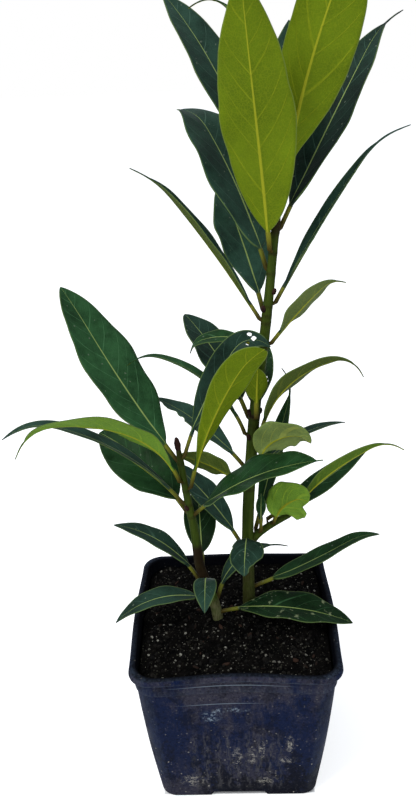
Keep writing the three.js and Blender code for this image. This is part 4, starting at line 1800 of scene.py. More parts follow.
    @staticmethod
    def hole_walls(taken: Array) -> Array:
        """The walls round a leaf's holes, from the upper face to the lower one.

        A wall stands on every edge between an upper quad that is gone and one that stays. A
        point's fellow on the lower face is as far from its ring's end as it is from the start.

        Args:
            taken: Which quads are gone, rows by places in the ring.

        Returns:
            Quads by four point numbers, empty where there is no hole.
        """
        ring = taken.shape[1]
        i, j = np.nonzero(taken[:, : ring // 2 - 1])
        corners = ((0, 0), (0, 1), (1, 1), (1, 0))
        beyond = ((-1, 0), (0, 1), (1, 0), (0, -1))
        start = np.stack([(i + down) * ring + j + along for down, along in corners], -1)
        stays = np.stack([~taken[i + down, j + along] for down, along in beyond], -1)
        end = np.roll(start, -1, axis=1)
        low_start, low_end = (k // ring * ring + ring - 1 - k % ring for k in (start, end))
        return np.stack([end, start, low_start, low_end], -1)[stays]


# the bluish upper tone carries a painted sky sheen in its colour
GREEN, GREY_SHEEN = UpperTone.GREEN, UpperTone.GREY_SHEEN
FRESH, PALE, DULL = UnderTone.FRESH, UnderTone.PALE, UnderTone.DULL

LEAVES = (
    Leaf("main_leaf_01", "main", 84, 5, 20, 9, 53, 12, bend=-14, fold=12, curl=36, belly=0.38,
         full=0.65),
    Leaf("main_leaf_02", "main", 106, 148, 55, 7, 47, 16, bend=30, tail=0.1, upper=GREY_SHEEN,
         shade=1.4),
    Leaf("main_leaf_03", "main", 111, 266, 45, 6, 26.5, 16, bend=80, belly=0.58, upper=GREY_SHEEN,
         shade=0.8,
         bites=((0.50, 0.30, 0.30, -1), (0.86, 0.13, 0.5, 1))),
    Leaf("main_leaf_04", "main", 137.6, 180, 45, 5, 26.6, 13.6, bend=31, roll=61, fold=8,
         curl=6, shade=1.5),
    Leaf("main_leaf_05", "main", 143, 20, 50, 6, 41, 6.5, bend=58, fold=15, upper=GREY_SHEEN),
    Leaf("main_leaf_06", "main", 146, 150, 44, 7, 44, 14, bend=32, fold=12, upper=GREY_SHEEN, shade=1.4,
         bites=((0.90, 0.05, 0.35, 1), (0.70, 0.07, 0.5, 1), (0.60, 0.05, 0.45, 1))),
    Leaf("main_leaf_07", "main", 149, 322, 78, 6, 28, 20, bend=84, sweep=18, roll=-54, curl=40,
         full=0.7, under=DULL, shade=1.2),
    Leaf("main_leaf_08", "main", 162, 171, 72, 9, 57, 7, bend=74, fold=20, curl=38, tail=0.1,
         upper=GREEN, shade=0.8),
    Leaf("main_leaf_09", "main", 164, 345, 78, 6, 56, 14.5, bend=76, roll=-32, curl=66, tail=0.1),
    Leaf("main_leaf_10", "main", 167, 80, 60, 6, 34, 14, bend=26, shade=0.72,
         holes=((0.375, -0.60, 0.6), (0.325, -0.72, 0.55), (0.30, -0.52, 0.5))),
    Leaf("main_leaf_11", "main", 169, 133, 60, 8, 46, 20, bend=32, full=0.6, upper=GREY_SHEEN,
         shade=0.75),
    Leaf("main_leaf_12", "main", 171, 285, 88, 8, 16, 10, bend=10, fold=8, under=FRESH, shade=0.8),
    Leaf("main_leaf_13", "main", 203.5, 345, 54.5, 6, 35, 12, bend=11, roll=-34, curl=54,
         tail=0.08, under=DULL, shade=0.77),
    Leaf("main_leaf_14", "main", 201, 165, 27, 5, 27, 9.5, bend=66, roll=-14, curl=34, shade=1.4),
    Leaf("main_leaf_15", "main", 213, 180, 60, 7, 70, 11, bend=10, fold=28, curl=24, tail=0.1,
         upper=GREY_SHEEN),
    Leaf("main_leaf_16", "main", 216, 118, 61, 7, 50, 22, bend=16, upper=GREY_SHEEN, shade=1.4),
    Leaf("main_leaf_17", "main", 220, 6, 61.5, 7, 76, 7.5, bend=7, sweep=-14, roll=22, fold=26,
         curl=36, tail=0.15, upper=GREY_SHEEN),
    Leaf("main_leaf_18", "main", 233, 130, 66, 8, 72, 28, bend=26, curl=40, full=0.65,
         upper=GREY_SHEEN, shade=1.2),
    Leaf("main_leaf_19", "main", 241, 243, 79, 8, 88, 27, bend=14, sweep=14, roll=5, fold=8,
         belly=0.46, full=0.68, under=FRESH),
    Leaf("main_leaf_20", "main", 249, 138, 76, 8, 92, 20, bend=36, roll=-12, fold=12,
         belly=0.58, upper=GREY_SHEEN),
    Leaf("main_leaf_21", "main", 249, 38.5, 55.5, 9, 92, 20, bend=6, sweep=2.6, roll=6, fold=14,
         curl=30, tail=0.12, upper=GREY_SHEEN, shade=0.62),
    Leaf("main_leaf_22", "main", 262, 318, 80, 9, 84, 27, bend=20, roll=-70, fold=20,
         belly=0.52, under=FRESH),
    Leaf("main_leaf_23", "main", 253, 188, 90, 6, 85, 18, bend=26, sweep=-40, fold=15, curl=90,
         tail=0.15),
    Leaf("main_leaf_24", "main", 260, 77, 74, 6, 60, 17, bend=12, fold=12, upper=GREY_SHEEN),
    Leaf("side_leaf_1", "side", 113, 290, 90, 7, 13, 4.5, bend=6, roll=160, fold=8),
    Leaf("side_leaf_2", "side", 112, 42, 70, 6, 72, 10.5, bend=2, fold=12, curl=-60, tail=0.2),
    Leaf("side_leaf_3", "side", 116.5, 335, 76, 4, 20, 20, bend=60, roll=-86, fold=8, curl=45,
         full=0.55, under=PALE, shade=1.5),
    Leaf("side_leaf_4", "side", 115.5, 26, 18, 5, 52, 11.5, bend=-14, sweep=-4, roll=20,
         fold=12, curl=8),
    Leaf("side_leaf_5", "side", 120.5, 347, 60, 8, 55, 8.5, bend=42, sweep=19, roll=-56,
         fold=20, curl=54, tail=0.15, under=PALE, shade=0.62),
    Leaf("left_leaf_01", "left", 75, 350, 20, 8, 52, 21, bend=40, shade=0.5, scars=0.8),
    Leaf("left_leaf_02", "left", 81, 60, 58, 6, 39, 9, bend=75, sweep=-60, fold=12, tail=0.2,
         upper=GREY_SHEEN),
    Leaf("left_leaf_03", "left", 83, 194, 34, 5, 40, 13, bend=78, fold=12, belly=0.42, upper=GREY_SHEEN),
    Leaf("left_leaf_04", "left", 93, 270, 60, 6, 27, 10, bend=95, fold=8, upper=GREY_SHEEN),
    Leaf("left_leaf_05", "left", 94, 165, 60, 7, 40, 12, bend=60, fold=12, upper=GREY_SHEEN, shade=0.8),
    Leaf("left_leaf_06", "left", 98, 94, 55, 6, 32, 15, bend=40, full=0.6, shade=0.5),
    Leaf("left_leaf_07", "left", 128, 338, 48.5, 7, 60, 25, bend=32, roll=8, fold=12,
         belly=0.42, full=0.65, tail=0.05),
    Leaf("left_leaf_08", "left", 128, 143, 46, 7, 50, 26, bend=40, roll=-28, full=0.7),
    Leaf("left_leaf_09", "left", 134, 184, 56, 9, 79, 11, bend=41, sweep=21, fold=15, curl=41,
         upper=GREY_SHEEN),
    Leaf("left_leaf_10", "left", 145, 225, 71, 8, 81, 20, bend=88, sweep=-37, roll=32, curl=50,
         belly=0.58, tail=0.1, under=PALE, shade=1.15),
    Leaf("left_leaf_11", "left", 141, 344, 77, 9, 70, 16, bend=26, sweep=-25, roll=-40, fold=12,
         curl=15, belly=0.7, full=0.5, under=FRESH),
    Leaf("left_leaf_12", "left", 154, 148, 46, 8, 80, 27, bend=-12, roll=-10, fold=8, curl=8,
         full=0.7, upper=GREEN),
    Leaf("left_leaf_13", "left", 156, 2, 73, 10, 58, 13, bend=22, roll=60, fold=12, curl=90,
         belly=0.55, upper=GREY_SHEEN, shade=0.85,
         holes=((0.846, 0.56, 0.72), (0.872, 0.12, 1.0), (0.825, -0.30, 0.85))),
)

BUDS = (
    Bud("main", 98, 330, 3.2, 1.1),
    Bud("main", 160, 225, 3.4, 1.2),
    Bud("main", 171, 200, 3.4, 1.2),
    Bud("main", 171, 20, 3.4, 1.2),
    Bud("main", 216, 215, 3.2, 1.1),
    Bud("main", 223, 330, 3.2, 1.1),
    Bud("left", 130, 236, 3.0, 1.1),
    Bud("main", 268, None, 5.0, 1.3),
    Bud("left", 160, None, 7.0, 1.4),
)


@dataclass
class Plant:
    """The two stems and every leaf."""

    leaves: tuple[Leaf, ...] = LEAVES
    buds: tuple[Bud, ...] = BUDS
    maker: LeafMaker = LeafMaker()

    def rings(self, *keys: str) -> tuple[tuple[float, float], ...]:
        """The heights at which leaves join those stems, with the strength of each ring."""
        return tuple((leaf.height - 1.5, 0.4) for leaf in self.leaves if leaf.stem in keys)

    def build(self, effects: Effects) -> list[bpy.types.Object]:
        """Builds the stems and the leaves.

        Args:
            effects: The shared shader groups.

        Returns:
            The pieces.
        """
        bark = BarkFinish().material(effects)
        scales = BudFinish().material(effects)
        main_buds, left_buds = (
            tuple(bud for bud in self.buds if bud.line == key) for key in ("main", "left")
        )
        main_stem = Stem(
            "main_stem",
            ("main", "side"),
            main_buds,
            self.rings("main") + ((107.0, 1.0), (171.0, 0.8)),
            ((40.0, 104.0, 0.40), (105.0, 109.5, 0.95), (160.0, 173.0, 0.3), (246.0, 275.0, 0.6)),
            tan_top=103.0,
            tan_share=0.14,
        )
        left_stem = Stem(
            "left_stem",
            ("left",),
            left_buds,
            self.rings("left"),
            ((88.0, 112.0, 0.75), (153.0, 170.0, 0.4)),
            tan_top=82.0,
            tan_share=0.85,
        )
        pieces = [stem.build(bark, scales) for stem in (main_stem, left_stem)]
        uppers = {tone: UpperFinish(tone).material(effects) for tone in UpperTone}
        unders = {tone: UnderFinish(tone).material(effects) for tone in UnderTone}
        for leaf in self.leaves:
            pieces.append(self.maker.build(leaf, [uppers[leaf.upper], unders[leaf.under]]))
        return pieces


# ---- Pot and compost ----


@dataclass(frozen=True)
class SquarePath:
    """Rounded squares round the Z axis; the middle of each side bows with the height."""

    height: float = 76.0
    foot_radius: float = 7.0
    rim_radius: float = 9.0
    front_sag: float = 2.4
    side_bulge: float = 1.0
    side_steps: int = 44
    corner_steps: int = 14

    def corner_radius(self, z: Array) -> Array:
        """The corner's radius, which grows evenly from the foot to the rim."""
        return self.foot_radius + (self.rim_radius - self.foot_radius) * z / self.height

    def square(self, half: Array, z: Array) -> tuple[Array, Array, Array]:
        """Squares at given half widths and heights, counter-clockwise from the front left.

        A side's points run straight from corner to corner, moved out by its bow times the square
        of one less the squared share from its middle; a corner is a quarter circle.

        Args:
            half: Half widths.
            z: Heights, one for each half width.

        Returns:
            Rows by points by three axes, the distance along its side from the side's middle for
            each point, and the outward directions round one square.
        """
        half, z = np.asarray(half, float)[:, None], np.asarray(z, float)[:, None]
        radius = np.minimum(self.corner_radius(z), half * 0.98)
        flat = half - radius
        share = 2 * np.arange(self.side_steps) / self.side_steps - 1
        angle = np.arange(self.corner_steps) / self.corner_steps * np.pi / 2
        along = np.concatenate([flat * share, flat + radius * np.sin(angle)], axis=1)
        lean = np.concatenate([0 * share, np.sin(angle)])
        face = np.concatenate([0 * share + 1, np.cos(angle)])
        level = np.broadcast_to(z, along.shape)
        points, outward = [], []
        for side in range(4):
            cos, sin = np.cos(side * np.pi / 2), np.sin(side * np.pi / 2)
            bow = (-self.front_sag if side == 0 else self.side_bulge) * (z / self.height) ** 2
            bowed = half + bow * (1 - share**2) ** 2
            out = np.concatenate([bowed, flat + radius * np.cos(angle)], axis=1)
            points.append(np.stack([along * cos + out * sin, along * sin - out * cos, level], -1))
            turned = [lean * cos + face * sin, lean * sin - face * cos, 0 * lean]
            outward.append(np.stack(turned, -1))
        return np.concatenate(points, 1), np.tile(along, 4), np.concatenate(outward)


@dataclass(frozen=True)
class PotSizes:
    """The pot's named sizes."""

    height: float = 76.0
    rim_half: float = 45.0
    base_half: float = 35.4
    band_foot: float = 66.0
    band_half: float = 43.0
    band_step: float = 0.6
    convexity: float = 0.35
    rim_depth: float = 3.0
    wall: float = 1.2
    bay_width: float = 24.0
    bay_depth: float = 9.0
    bay_height: float = 2.0
    drain_radius: float = 2.6
    rib_pitch: float = 4.6
    rib_height: float = 0.28
    rib_reach: float = 23.0
    rib_top: float = 46.0

    def wall_half(self, z: Array) -> Array:
        """The outer half width of the wall, a little convex from the foot to the band.

        Args:
            z: Heights.

        Returns:
            A half width for each height.
        """
        share = np.minimum(np.asarray(z, float) / self.band_foot, 1)
        share = share + self.convexity * share * (1 - share)
        return self.base_half + (self.band_half - self.band_step - self.base_half) * share

    @property
    def under_rim(self) -> float:
        """The height of the rim's lower edge."""
        return self.height - self.rim_depth


@dataclass
class Pot:
    """The square nursery pot: wall with faint ribs, plain band, turned rim, bays in the foot."""

    sizes: PotSizes = PotSizes()
    path: SquarePath = SquarePath()
    bay_ease: float = 0.6
    dent: float = 0.2
    cutter_low: float = 1.5
    cutter_high: float = 2.9

    def bay(self, points: Array, margin: float) -> Array:
        """How much of a bay's height is under each place: 1 inside a bay grown by a margin, 0
        outside it, eased over its edges.

        Args:
            points: Places with three axes last.
            margin: How far a bay is grown.

        Returns:
            One share for each place.
        """
        s = self.sizes
        made = np.zeros(points.shape[:-1])
        wide = s.bay_width / 2 + margin + 0.3
        deep = s.base_half - s.bay_depth - margin - 0.3
        for side in range(4):
            cos, sin = np.cos(side * np.pi / 2), np.sin(side * np.pi / 2)
            along = points[..., 0] * cos + points[..., 1] * sin
            out = points[..., 0] * sin - points[..., 1] * cos
            inside = smooth_step((wide - np.abs(along)) / self.bay_ease)
            made = np.maximum(made, inside * smooth_step((out - deep) / self.bay_ease))
        return made

    def profile(self) -> tuple[Array, Array]:
        """The outside from the foot up: a rounded foot, the wall, the band, a lip that turns out
        under the rim, the rim and its rounded top edge.

        Returns:
            Half widths and heights.
        """
        s = self.sizes
        foot = np.array([(-0.8, 0.0), (-0.45, 0.12), (-0.15, 0.45)])
        low, middle = [1.0, 1.6, 2.4, 3.4], np.linspace(4.8, s.band_foot - 0.4, 40)
        wall = np.concatenate([low, middle, [s.band_foot]])
        band = np.array([(-0.35, 0.15), (-0.08, 0.5), (0.0, 1.1), (0.2, 4.0)])
        lip = np.array([(0.3, -0.9), (0.45, -0.3), (0.8, -0.05)])
        rim = np.array([(-1.0, 0.0), (-0.45, 0.1), (-0.12, 0.45), (0.0, 1.1)])
        top = np.array([(-0.1, -0.95), (-0.4, -0.4), (-0.8, -0.12), (-1.4, 0.0)])
        half, z = np.concatenate([
            foot + (s.base_half, 0.0),
            np.stack([s.wall_half(wall), wall], -1),
            band + (s.band_half, s.band_foot),
            lip + (s.band_half, s.under_rim),
            rim + (s.rim_half, s.under_rim),
            top + (s.rim_half, s.height),
        ]).T
        return half, z

    def ribs(self, along: Array, level: Array) -> Array:
        """The wall's upright ribs: raised cosines that drift a little, fading out at the foot,
        below the band and to both sides.

        Args:
            along: Distances from the middle of each side.
            level: Heights.

        Returns:
            Shares of the ribs' height.
        """
        s = self.sizes
        strength = smooth_step((1 - np.abs(along) / s.rib_reach) * 4)
        strength = strength * smooth_step((s.rib_top - level) / 10) * smooth_step((level - 3) / 4)
        place = np.stack(np.broadcast_arrays(along / 6, level / 25), -1)
        drift = 0.8 * value_noise(place, Seed.RIBS)
        return strength * (0.5 + 0.5 * np.cos(2 * np.pi * (along + drift) / s.rib_pitch)) ** 2

    def edge_wear_and_highlight(self, half: Array, z: Array, outward: Array) -> Array:
        """How light the outside is painted at its edges, partly for abrasion and partly as painted
        highlight: bells of height round the band's foot, the rim's lower edge and its top, and a
        little more up the corners.

        Args:
            half: Half widths.
            z: Heights.
            outward: Outward directions round one square.

        Returns:
            Shares, rows by points.
        """
        s = self.sizes
        edge = 0.35 * np.exp(-(((z - (s.band_foot + 0.8)) / 0.5) ** 2))
        lower = 0.9 * np.exp(-(((z - s.under_rim - 0.3) / 0.4) ** 2))
        edge = edge + lower * (half > s.rim_half - 0.6)
        edge = edge + 0.25 * np.exp(-(((z - s.height) / 0.35) ** 2))
        corner = np.abs(outward[:, 0] * outward[:, 1]) > 0.15
        return np.clip(edge[:, None] + 0.2 * corner * smooth_step(z[:, None] / 20), 0, 1)

    def outer(self) -> tuple[Array, Array, Array]:
        """The outside from the foot to the top of the rim, with ribs and soft dents.

        Returns:
            Rows of squares, how light each point's edge is painted, partly abrasion and partly
            painted highlight, and how near a rib's crest.
        """
        s = self.sizes
        half, z = self.profile()
        points, along, outward = self.path.square(half, z)
        level = z[:, None]
        crest = self.ribs(along, level)
        points = points + outward * (s.rib_height * crest)[..., None]
        dent = value_noise(points / 16.0, Seed.DENTS) * 0.22
        dent = dent + value_noise(points / 5.0, Seed.SMALL_DENTS) * 0.05
        keep = smooth_step(level / 6) * smooth_step((s.height - level) / 4)
        points = points - outward * (self.dent * keep * (0.6 + dent))[..., None]
        return points, self.edge_wear_and_highlight(half, z, outward), crest

    def inner(self) -> Array:
        """The inside from the top of the rim down to the floor.

        Returns:
            Rows of squares.
        """
        s = self.sizes
        wall_z = np.linspace(s.band_foot, s.wall + 0.5, 14)
        turned = np.array([(-0.75, -0.05), (-0.85, -0.25), (-0.95, -0.7), (-1.05, -1.6)])
        half, z = np.concatenate([
            [(s.rim_half - 2.6, s.height)],
            turned + (s.band_half, s.height),
            [(s.band_half - s.wall, s.under_rim)],
            np.stack([s.wall_half(wall_z) - s.wall, wall_z], -1),
        ]).T
        return self.path.square(half, z)[0]

    def floor(self, z: float, margin: float, half: float, inwards: bool) -> Array:
        """A flat face from the wall to the middle, lifted over the bays.

        Args:
            z: The face's height.
            margin: How far a bay is grown.
            half: The half width at the wall.
            inwards: Whether the rows run to the middle rather than from it.

        Returns:
            Rows of squares.
        """
        shares = np.linspace(1, 0.03, 46)
        shares = shares if inwards else shares[::-1]
        points = self.path.square(np.full(len(shares), half), np.full(len(shares), z))[0]
        points[..., :2] *= shares[:, None, None]
        points[..., 2] += self.sizes.bay_height * self.bay(points, margin)
        return points

    def build(self, plastic: Material) -> bpy.types.Object:
        """Builds the pot over its solid: one closed skin from the middle of the underside, up
        the outside, over the rim and down the inside to the middle of the floor.

        Args:
            plastic: The pot's material.

        Returns:
            The piece.
        """
        s = self.sizes
        # the edge values stand for abrasion and painted highlight together
        outside, edge_wear_light, crest = self.outer()
        lift = s.bay_height * self.bay(outside[:1] * [[[0.98, 0.98, 1]]], 0.0)
        outside[..., 2] += lift * np.clip(1 - outside[..., 2] / 9, 0, 1)
        underside = self.floor(0.0, 0.0, s.base_half - 0.8, False)[:-1]
        inside = self.inner()
        floor = self.floor(s.wall, s.wall, float(s.wall_half(s.wall)) - s.wall, True)
        rows = np.concatenate([underside, outside, inside, floor])
        skin = Skin()
        skin.add_grid(rows)
        mesh = skin.mesh("pot_skin")
        start, end = len(underside), len(underside) + len(outside)
        # the rim's top, painted near black with every inside row, which is painted shade
        top = smooth_step((outside[..., 2] - (s.height - 0.5)) / 0.5)
        for name, shown, within in (
            ("bare_edge", edge_wear_light, 0),
            ("rib_crest", crest, 0),
            ("rim_top", top, 1),
        ):
            values = np.zeros(rows.shape[:2])
            values[start:end] = shown
            values[end:] = within
            set_point_values(mesh, name, np.append(values.ravel(), [0, within]))
        piece = finished_piece(mesh, "pot_plastic", [plastic], "pot")
        self.drill(piece)
        return piece

    def drill(self, piece: bpy.types.Object) -> None:
        """Cuts the round drain holes through the raised floor of each bay.

        Args:
            piece: The pot.
        """
        s = self.sizes
        middle = s.base_half - s.bay_depth / 2 - s.wall
        turn = np.linspace(0, 2 * np.pi, 32, endpoint=False)
        ends = np.array([s.bay_height - self.cutter_low, s.bay_height + self.cutter_high])
        skin = Skin()
        for side in range(4):
            angle = side * np.pi / 2
            x = middle * np.sin(angle) + s.drain_radius * np.cos(turn)
            y = -middle * np.cos(angle) + s.drain_radius * np.sin(turn)
            skin.add_grid(np.stack(np.broadcast_arrays(x, y, ends[:, None]), -1))
        cutter = placed_object("drill", skin.mesh("drill"))
        cut = piece.modifiers.new("drain_holes", "BOOLEAN")
        cut.operation = "DIFFERENCE"
        cut.solver = "EXACT"
        cut.object = cutter
        graph = bpy.context.evaluated_depsgraph_get()
        made = bpy.data.meshes.new_from_object(piece.evaluated_get(graph))
        piece.modifiers.clear()
        old = piece.data
        piece.data = made
        bpy.data.meshes.remove(old)
        made.name = "pot_skin"
        bpy.data.objects.remove(cutter)


@dataclass(frozen=True)
class Litter:
    """A kind of loose piece: how many there are, their smallest and largest radius, their
    stretch along each axis, how far inside the pot's wall they stay and their finish."""

    name: str
    count: int
    sizes: tuple[float, float]
    shape: Place
    inwards: float
    finish: ChipFinish


LITTER = (
    Litter("perlite_grains", 700, (0.16, 0.85), (1.0, 0.8, 0.6), 1.5,
           ChipFinish("perlite", (0.024, 0.023, 0.017), (0.36, 0.35, 0.30))),
    Litter("compost_crumbs", 1500, (0.30, 1.30), (1.0, 0.75, 0.6), 1.5,
           ChipFinish("crumb", (0.0010, 0.0009, 0.0009), (0.015, 0.013, 0.010))),
    Litter("bark_bits", 32, (1.0, 2.6), (1.0, 0.45, 0.28), 3.0,
           ChipFinish("bark_chip", (0.012, 0.007, 0.005), (0.060, 0.028, 0.017))),
)


@dataclass
class Compost:
    """The compost that fills the pot, with its crumbs, pale grains and bark bits."""

    sizes: PotSizes = PotSizes()
    path: SquarePath = SquarePath(side_steps=70, corner_steps=16)
    top: float = 71.6
    bump: float = 0.7
    clearance: float = 0.3
    rings: int = 96
    litter: tuple[Litter, ...] = LITTER
    seed: int = 11
    stem_gap: float = 3.6
    chip_levels: tuple[float, ...] = (-62.0, -8.0, 44.0)
    chip_sides: int = 6

    def height(self, x: Array, y: Array) -> Array:
        """The height of the top: crossing waves, lumps of two sizes and noise of two sizes.

        Args:
            x: Places along X.
            y: Places along Y.

        Returns:
            Millimetres above the pot's foot.
        """
        broad = np.sin(0.31 * x + 0.9) * np.cos(0.27 * y)
        waves = self.bump * (broad + 0.6 * np.sin(0.83 * x - 0.71 * y))
        flat = np.stack([x, y], -1)
        lumps = 0.85 * lump_field(flat / 3.4, Seed.LUMPS)
        lumps = lumps + 0.55 * lump_field(flat / 1.5 + 9.7, Seed.SMALL_LUMPS)
        grain = 0.16 * value_noise(flat / 0.7, Seed.GRAIN)
        fine = grain + 0.35 * value_noise(flat / 6.0, Seed.SWELLS)
        return self.top + waves * 0.8 + lumps + fine - 0.75

    def build(self, effects: Effects) -> list[bpy.types.Object]:
        """Builds the compost over its solid, and the loose pieces on it.

        Args:
            effects: The shared shader groups.

        Returns:
            The pieces.
        """
        s = self.sizes
        pot = Pot(s, self.path)
        inset = s.wall + self.clearance
        sides = np.array([inset, s.band_foot / 3, 2 * s.band_foot / 3, s.band_foot, self.top - 1.4])
        walls = self.path.square(s.wall_half(sides) - inset, sides)[0]
        floor_shares = np.linspace(0.02, 1, 14)[:-1, None, None]
        floor = np.repeat(walls[:1], len(floor_shares), 0)
        floor[..., :2] *= floor_shares
        floor[..., 2] += s.bay_height * pot.bay(floor, inset)
        walls[0, :, 2] += s.bay_height * pot.bay(walls[0], inset)
        rim = float(s.wall_half(self.top)) - inset - 0.2
        cover = self.path.square(np.full(self.rings, rim), np.full(self.rings, self.top))[0]
        cover[..., :2] *= np.linspace(1, 0.012, self.rings)[:, None, None]
        cover[..., 2] = self.height(cover[..., 0], cover[..., 1])
        skin = Skin()
        skin.add_grid(np.concatenate([floor, walls, cover]))
        dark = CompostFinish().material(effects)
        pieces = [finished_piece(skin.mesh("compost_body"), "compost", [dark], "soil")]
        for kind in self.litter:
            pieces.append(self.chips(kind, kind.finish.material(effects), rim - kind.inwards))
        return pieces

    def chips(self, kind: Litter, material: Material, reach: float) -> bpy.types.Object:
        """Loose angular pieces strewn over the top, half sunk in it.

        Each is a six-sided, three-row spindle, stretched by its shape and uneven by a draw for
        each point, turned by three draws; small ones are far more common than large ones.

        Args:
            kind: What they are like.
            material: Their material.
            reach: Half the width that they are strewn over.

        Returns:
            The piece that holds them all.
        """
        count, (smallest, largest) = kind.count, kind.sizes
        draw = np.random.default_rng(self.seed + count)
        x, y = draw.uniform(-reach, reach, (2, count))
        for key in ("main", "left"):
            foot_x, foot_y, _ = STEM_LINES[key].points[0]
            near = np.hypot(x - foot_x, y - foot_y) < self.stem_gap
            x = np.where(near, x + 7.0, x)
        size = smallest + (largest - smallest) * draw.uniform(0, 1, count) ** 2.6
        rows, ring = len(self.chip_levels), self.chip_sides
        level = np.radians(self.chip_levels)[:, None]
        turn = np.linspace(0, 2 * np.pi, ring, endpoint=False)
        ball = (np.cos(level) * np.cos(turn), np.cos(level) * np.sin(turn), np.sin(level))
        ball = np.stack(np.broadcast_arrays(*ball), -1)
        rough = draw.uniform(0.72, 1.25, (count, rows, ring, 1))
        body = ball * rough * np.array(kind.shape)
        angle = draw.uniform(0, 2 * np.pi, (3, count))
        spin = (
            axis_turns(angle[0], 2)
            @ axis_turns(0.5 * np.sin(angle[1]), 0)
            @ axis_turns(0.5 * np.sin(angle[2]), 1)
        )
        placed = np.einsum("nij,nrkj->nrki", spin, body) * size[:, None, None, None]
        middle = np.stack([x, y, self.height(x, y) + 0.1 * size], -1)
        placed = placed + middle[:, None, None, :]
        ends = placed[:, [0, -1]].mean(2)
        points = rows * ring + 2
        skin = Skin()
        skin.add_points(np.concatenate([placed.reshape(count, -1, 3), ends], 1))
        base = (np.arange(count) * points)[:, None, None]
        skin.add_faces((base + grid_quads(rows, ring, True)).reshape(-1, 4))
        skin.add_faces((base + end_fans(rows, ring)).reshape(-1, 3))
        mesh = skin.mesh(kind.name)
        set_point_values(mesh, "draw", np.repeat(draw.uniform(0, 1, count) ** 2.0, points))
        mesh.polygons.foreach_set("use_smooth", np.zeros(len(mesh.polygons), bool))
        return finished_piece(mesh, "compost", [material])


# ---- Studio ----


@dataclass(frozen=True)
class Lamp:
    """A soft square lamp: where it stands, its side, its watts, its colour and its aim."""

    name: str
    place: Place
    width: float
    power: float
    colour: Colour
    aim: Place = (0.0, 0.0, 150.0)

    def build(self) -> None:
        """Makes the lamp, turned to its aim."""
        data = bpy.data.lights.new(self.name, "AREA")
        data.energy = self.power
        data.size = self.width * MM
        data.color = self.colour
        back = unit(np.array(self.place) - np.array(self.aim))
        right = unit(np.cross((0.0, 0.0, 1.0), back))
        lamp = placed_object(self.name, data)
        lamp.matrix_world = pose((right, np.cross(back, right), back), self.place)


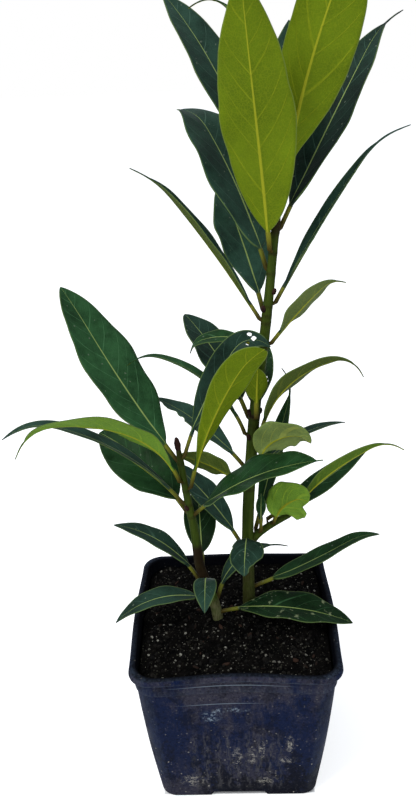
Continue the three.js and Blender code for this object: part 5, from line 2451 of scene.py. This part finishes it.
@dataclass(frozen=True)
class Studio:
    """Camera, floor and soft light."""

    eye: Place = (2.0, -299.0, 314.0)
    pitch: float = 23.7
    yaw: float = -1.9
    roll: float = -2.4
    lens: float = 36.452
    sensor: float = 36.0
    floor_half: float = 6000.0
    floor_drop: float = 0.05
    shade_half: float = 34.9
    lamps: tuple[Lamp, ...] = (
        Lamp("key", (-700.0, -500.0, 1100.0), 600.0, 9.0, (1.0, 0.99, 0.96)),
        Lamp("fill", (600.0, -900.0, 500.0), 800.0, 2.0, (1.0, 1.0, 1.0)),
    )

    def camera(self) -> bpy.types.Object:
        """Makes the camera, which looks down by pitch, turned by yaw and tilted by roll.

        Returns:
            The camera.
        """
        pitch, yaw, roll = np.radians([self.pitch, self.yaw, self.roll])
        flat = np.cos(pitch)
        ahead = np.array([np.sin(yaw) * flat, np.cos(yaw) * flat, -np.sin(pitch)])
        level = np.array([np.cos(yaw), -np.sin(yaw), 0.0])
        above = np.cross(level, ahead)
        right = np.cos(roll) * level + np.sin(roll) * above
        up = -np.sin(roll) * level + np.cos(roll) * above
        data = bpy.data.cameras.new("camera")
        data.lens = self.lens
        data.sensor_width = self.sensor
        data.clip_start, data.clip_end = 0.01, 50.0
        camera = placed_object("camera", data)
        camera.matrix_world = pose((right, up, -ahead), self.eye)
        bpy.context.scene.camera = camera
        return camera

    def floor(self) -> bpy.types.Object:
        """Makes the plain pale floor, a wide flat grid: it glows evenly for the camera alone,
        but not under the pot.

        Returns:
            The floor.
        """
        skin = Skin()
        reach = np.linspace(-self.floor_half, self.floor_half, 9)
        x, y = np.meshgrid(reach, reach)
        level = np.full_like(x, -self.floor_drop)
        skin.add_grid(np.stack([x, y, level], -1), closed=False, ends=False)
        mesh = skin.mesh("floor")
        material, pen, shader = new_material("floor_white")
        for name, value in (
            ("Base Color", (0.90, 0.90, 0.90, 1.0)),
            ("Roughness", 0.9),
            ("Specular IOR Level", 0.0),
            ("Emission Color", (1.0, 1.0, 1.0, 1.0)),
        ):
            shader.inputs[name].default_value = value
        seen = pen.node("ShaderNodeLightPath").outputs["Is Camera Ray"]
        x, y, _ = pen.split(pen.places())
        out = pen.math("MAXIMUM", pen.math("ABSOLUTE", x), pen.math("ABSOLUTE", y))
        lit = pen.span(out, (self.shade_half - 1.0) * MM, self.shade_half * MM, 0.0, 0.60)
        pen.put(shader.inputs["Emission Strength"], pen.times(seen, lit))
        mesh.materials.append(material)
        floor = placed_object("floor", mesh)
        return floor

    def sky(self) -> None:
        """Sets the light from all round: bright and a little blue above, dimmer at the sides,
        and plain white where the camera looks past everything."""
        world = bpy.data.worlds.new("soft_sky")
        bpy.context.scene.world = world
        world.use_nodes = True
        tree = world.node_tree
        tree.nodes.clear()
        pen = Pen(tree)
        up = pen.split(pen.node("ShaderNodeTexCoord").outputs["Generated"])[2]
        share = pen.span(up, 0.0, 0.85)
        colour = pen.mix(share, (0.20, 0.21, 0.22), (0.66, 0.70, 0.76))
        seen = pen.node("ShaderNodeLightPath").outputs["Is Camera Ray"]
        colour = pen.mix(seen, colour, (1.0, 1.0, 1.0))
        light = pen.node("ShaderNodeBackground")
        pen.put(light.inputs["Color"], colour)
        out = pen.node("ShaderNodeOutputWorld")
        tree.links.new(light.outputs[0], out.inputs[0])

    def build(self) -> None:
        """Makes the camera first, then the floor and the light."""
        self.camera()
        self.floor()
        self.sky()
        for lamp in self.lamps:
            lamp.build()
        bpy.context.scene.view_settings.view_transform = "Standard"


def corners(box: tuple) -> list[list[float]]:
    """A box's two corners as plain lists."""
    return [[float(v) for v in corner] for corner in box]


def main() -> None:
    """Builds the studio and every piece."""
    Studio().build()
    effects = Effects(make_mottle_group(), make_fleck_group(), make_vein_group())
    pieces = [Pot().build(PlasticFinish().material(effects))]
    pieces += Compost().build(effects)
    pieces += Plant().build(effects)
    LOG.info("pieces: %d", len(pieces))


if __name__ == "__main__":
    main()
